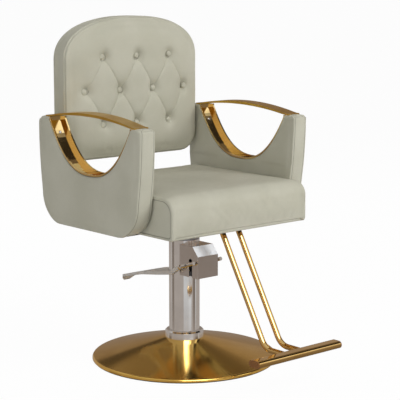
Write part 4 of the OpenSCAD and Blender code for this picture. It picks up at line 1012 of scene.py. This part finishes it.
def button_gaps(x, z):
    """Distances to each button's middle."""
    return np.array([np.hypot(x - spot[0], z - spot[1]) for spot in BUTTON_SPOTS])


def back_rise(x, z):
    """How far the back's front stands over its edge."""
    across = 1 - np.clip(np.abs(x) / back_half(z), 0, 1) ** SIDE_POWER
    up = 1 - np.clip(np.abs(2 * z / top_z(x) - 1), 0, 1) ** TOP_POWER
    reach = np.min(button_gaps(x, z), 0) / TUFT_SPREAD
    core = np.exp(-(reach * CORE_NARROWER) ** 2)
    dimple = (1 - CORE_SHARE) * np.exp(-reach ** 2) + CORE_SHARE * core
    near = np.min([fold_gap(x, z, a, b) for a, b in BUTTON_FOLDS], 0)
    fold = np.exp(-(near / FOLD_SPREAD) ** 2)
    crease = np.exp(-(near / CREASE_SPREAD) ** 2)
    return (BACK_CROWN * across * up - (TUFT_DEPTH - FOLD_DEPTH) * dimple
            - FOLD_DEPTH * fold * across * up - CREASE_DEPTH * crease * across * up)


def back_outline(inset):
    """The back's outline as a loop in the order of the grid's border, drawn in by an inset."""
    loop = np.array([(c * back_half(0), 0) for c in COLUMN_SHARES]
                    + [(back_half(z), z) for z in ROW_HEIGHTS[1:-1]]
                    + [(c * back_half(BACK_H), BACK_H) for c in COLUMN_SHARES[::-1]]
                    + [(-back_half(z), z) for z in ROW_HEIGHTS[-2:0:-1]], float)
    loop[:, 1] = np.minimum(loop[:, 1], top_z(loop[:, 0]))
    loop[:, 0] *= 1 - 2 * inset / BACK_W
    loop[:, 1] = BACK_H / 2 + (loop[:, 1] - BACK_H / 2) * (1 - 2 * inset / BACK_H)
    return loop


def outline_ring(inset, y):
    """The drawn-in outline as points at a depth."""
    loop = back_outline(inset)
    return np.stack([loop[:, 0], np.full(len(loop), y), BACK_LOW.z + loop[:, 1]], 1)


def back_stages(depth):
    """Insets, depths and gaps of the rings round the front edge, the side, the rear edge and the rear."""
    quarter = np.linspace(0, math.pi / 2, BACK_EDGE_RINGS + 1)[1:]
    stages = [(EDGE_R * (1 - math.sin(a)), EDGE_R * (1 - math.cos(a)), EDGE_R * a) for a in quarter]
    side = depth - 2 * EDGE_R
    for i in range(1, BACK_SIDE_RINGS + 1):
        share = i / BACK_SIDE_RINGS
        stages.append((BACK_SIDE_BOW * math.sin(math.pi * share), EDGE_R + side * share, EDGE_R * 2))
    for a in quarter:
        stages.append((BACK_REAR_IN * (1 - math.cos(a)), depth - EDGE_R + EDGE_R * math.sin(a), EDGE_R * 2))
    for i in range(1, BACK_REAR_RINGS):
        stages.append((BACK_REAR_IN + BACK_H / 2 * i / BACK_REAR_RINGS, depth, EDGE_R * 2))
    return stages


def add_back():
    """The back as a grid over its tufted front, with rings from the grid's border to the rear's middle."""
    x = COLUMN_SHARES[None, :] * back_half(ROW_HEIGHTS)[:, None]
    z = np.minimum(ROW_HEIGHTS[:, None], top_z(x))
    front = np.stack([x * (1 - 2 * EDGE_R / BACK_W), BACK_FRONT_Y - back_rise(x, z),
                      BACK_LOW.z + BACK_H / 2 + (z - BACK_H / 2) * (1 - 2 * EDGE_R / BACK_H)], -1)
    side_gap = (1 - np.abs(COLUMN_SHARES))[None, :] * back_half(ROW_HEIGHTS)[:, None]
    edge_gap = np.minimum(side_gap, np.minimum(z, top_z(x) - z))
    # The ring round each button's rim is marked like a seam: the leather is drawn in there and darkened as
    # painted shade under the button.
    button_gap = np.min(np.abs(button_gaps(x, z) - BUTTON_R), 0)
    seam_gap = np.minimum(np.abs(edge_gap - BACK_SEAM_IN / 2) + BACK_SEAM_SOFT, button_gap)
    number = np.arange(front.shape[0] * front.shape[1]).reshape(front.shape[:2])
    points, gaps, faces = [front.reshape(-1, 3)], [seam_gap.ravel()], [grid_faces(number)]

    depth = BACK_HIGH.y - BACK_FRONT_Y
    rings = [(outline_ring(inset, BACK_FRONT_Y + y), gap + BACK_SEAM_IN / 2)
             for inset, y, gap in back_stages(depth)]
    centre = np.array([[0, BACK_FRONT_Y + depth, BACK_LOW.z + BACK_H / 2]])
    rings.append((np.repeat(centre, len(rings[0][0]), 0), FAR_FROM_SEAM))
    previous = np.concatenate([number[0], number[1:-1, -1], number[-1, ::-1], number[-2:0:-1, 0]])
    offset = number.size
    for ring, gap in rings:
        points.append(ring)
        gaps.append(np.full(len(ring), gap))
        current = offset + np.arange(len(ring))
        faces.append(np.stack([previous, np.roll(previous, -1), np.roll(current, -1), current], 1))
        offset += len(ring)
        previous = current
    piece = build_piece("back_upholstery", np.concatenate(points), np.concatenate(faces),
                        np.concatenate(gaps), body="seat", replaces=["back_cushion"])
    inflate(piece, BACK_PUFF, BACK_PUFF / 2, lambda places, out: np.clip(-2 * out[:, 1], 0, 1))
    # The back's seam marks, with the painted shade round the buttons, darken at this strength.
    sew(piece, depth=BACK_SEAM_DEPTH, spread=BACK_SEAM_SPREAD, tone=BACK_SEAM_AND_SHADE_TONE)


add_back()

# Rear cover: a flat panel with a round edge, closed on its inside
REAR_INSET = EDGE_R / 4
REAR_EDGE_R = EDGE_R / 2
REAR_SEAM_IN = EDGE_R * 1.5
REAR_EDGE_RINGS = 5
REAR_FLAT_RINGS = 40
ALMOST_CLOSED = 0.999


def add_rear_panel():
    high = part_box("back_panel")[1]
    lip = BACK_HIGH.y + BOARD_GAP
    rim = high.y - REAR_EDGE_R
    closed = BACK_H / 2 * ALMOST_CLOSED
    stages = [(closed, lip), (REAR_INSET, lip), (REAR_INSET, rim)]
    for a in np.linspace(0, math.pi / 2, REAR_EDGE_RINGS + 1)[1:]:
        inset = REAR_INSET + REAR_EDGE_R * (1 - math.cos(a))
        stages.append((inset, high.y - REAR_EDGE_R * (1 - math.sin(a))))
    for i in range(1, REAR_FLAT_RINGS):
        stages.append((REAR_INSET + REAR_EDGE_R + (BACK_H / 2 - EDGE_R) * i / REAR_FLAT_RINGS, high.y))
    stages.append((closed, high.y))
    rings = [outline_ring(inset, y) for inset, y in stages]
    count = len(rings[0])
    gaps = [np.full(count, abs(inset - REAR_SEAM_IN) if y > lip else FAR_FROM_SEAM) for inset, y in stages]
    piece = build_piece("back_rear_upholstery", np.concatenate(rings), ring_faces(len(rings), count),
                        np.concatenate(gaps), body="seat", replaces=["back_panel"])
    sew(piece)


add_rear_panel()

# Buttons: a neck in the tuft, a rim and a domed top
BUTTON_RINGS = 12
BUTTON_SIDES = 32
BUTTON_NECK = 0.6
BUTTON_RIM = 0.35
BUTTON_POWER = 0.8


def add_buttons():
    profile = [(0.0, 0.0), (BUTTON_R * BUTTON_NECK, 0.0)]
    for i in range(BUTTON_RINGS + 1):
        a = math.pi / 2 * i / BUTTON_RINGS
        profile.append((BUTTON_R * math.cos(a) ** BUTTON_POWER,
                        BUTTON_H * (BUTTON_RIM + (1 - BUTTON_RIM) * math.sin(a))))
    turns = np.linspace(0, 2 * math.pi, BUTTON_SIDES, endpoint=False)
    count = len(profile) * BUTTON_SIDES
    points, faces = [], []
    for number, (x, z) in enumerate(BUTTON_SPOTS):
        foot_y = BACK_FRONT_Y - float(back_rise(np.array(x), np.array(z)))
        points += [(x + r * math.cos(b), foot_y - height, BACK_LOW.z + z + r * math.sin(b))
                   for r, height in profile for b in turns]
        faces.append(ring_faces(len(profile), BUTTON_SIDES) + number * count)
    gaps = np.full(len(points), FAR_FROM_SEAM)
    piece = build_piece("tuft_buttons", np.array(points), np.concatenate(faces), gaps,
                        body="seat", replaces=["back_buttons"])
    sew(piece, ripple=0)


add_buttons()

scene = bpy.context.scene
scene.view_settings.view_transform = "Standard"
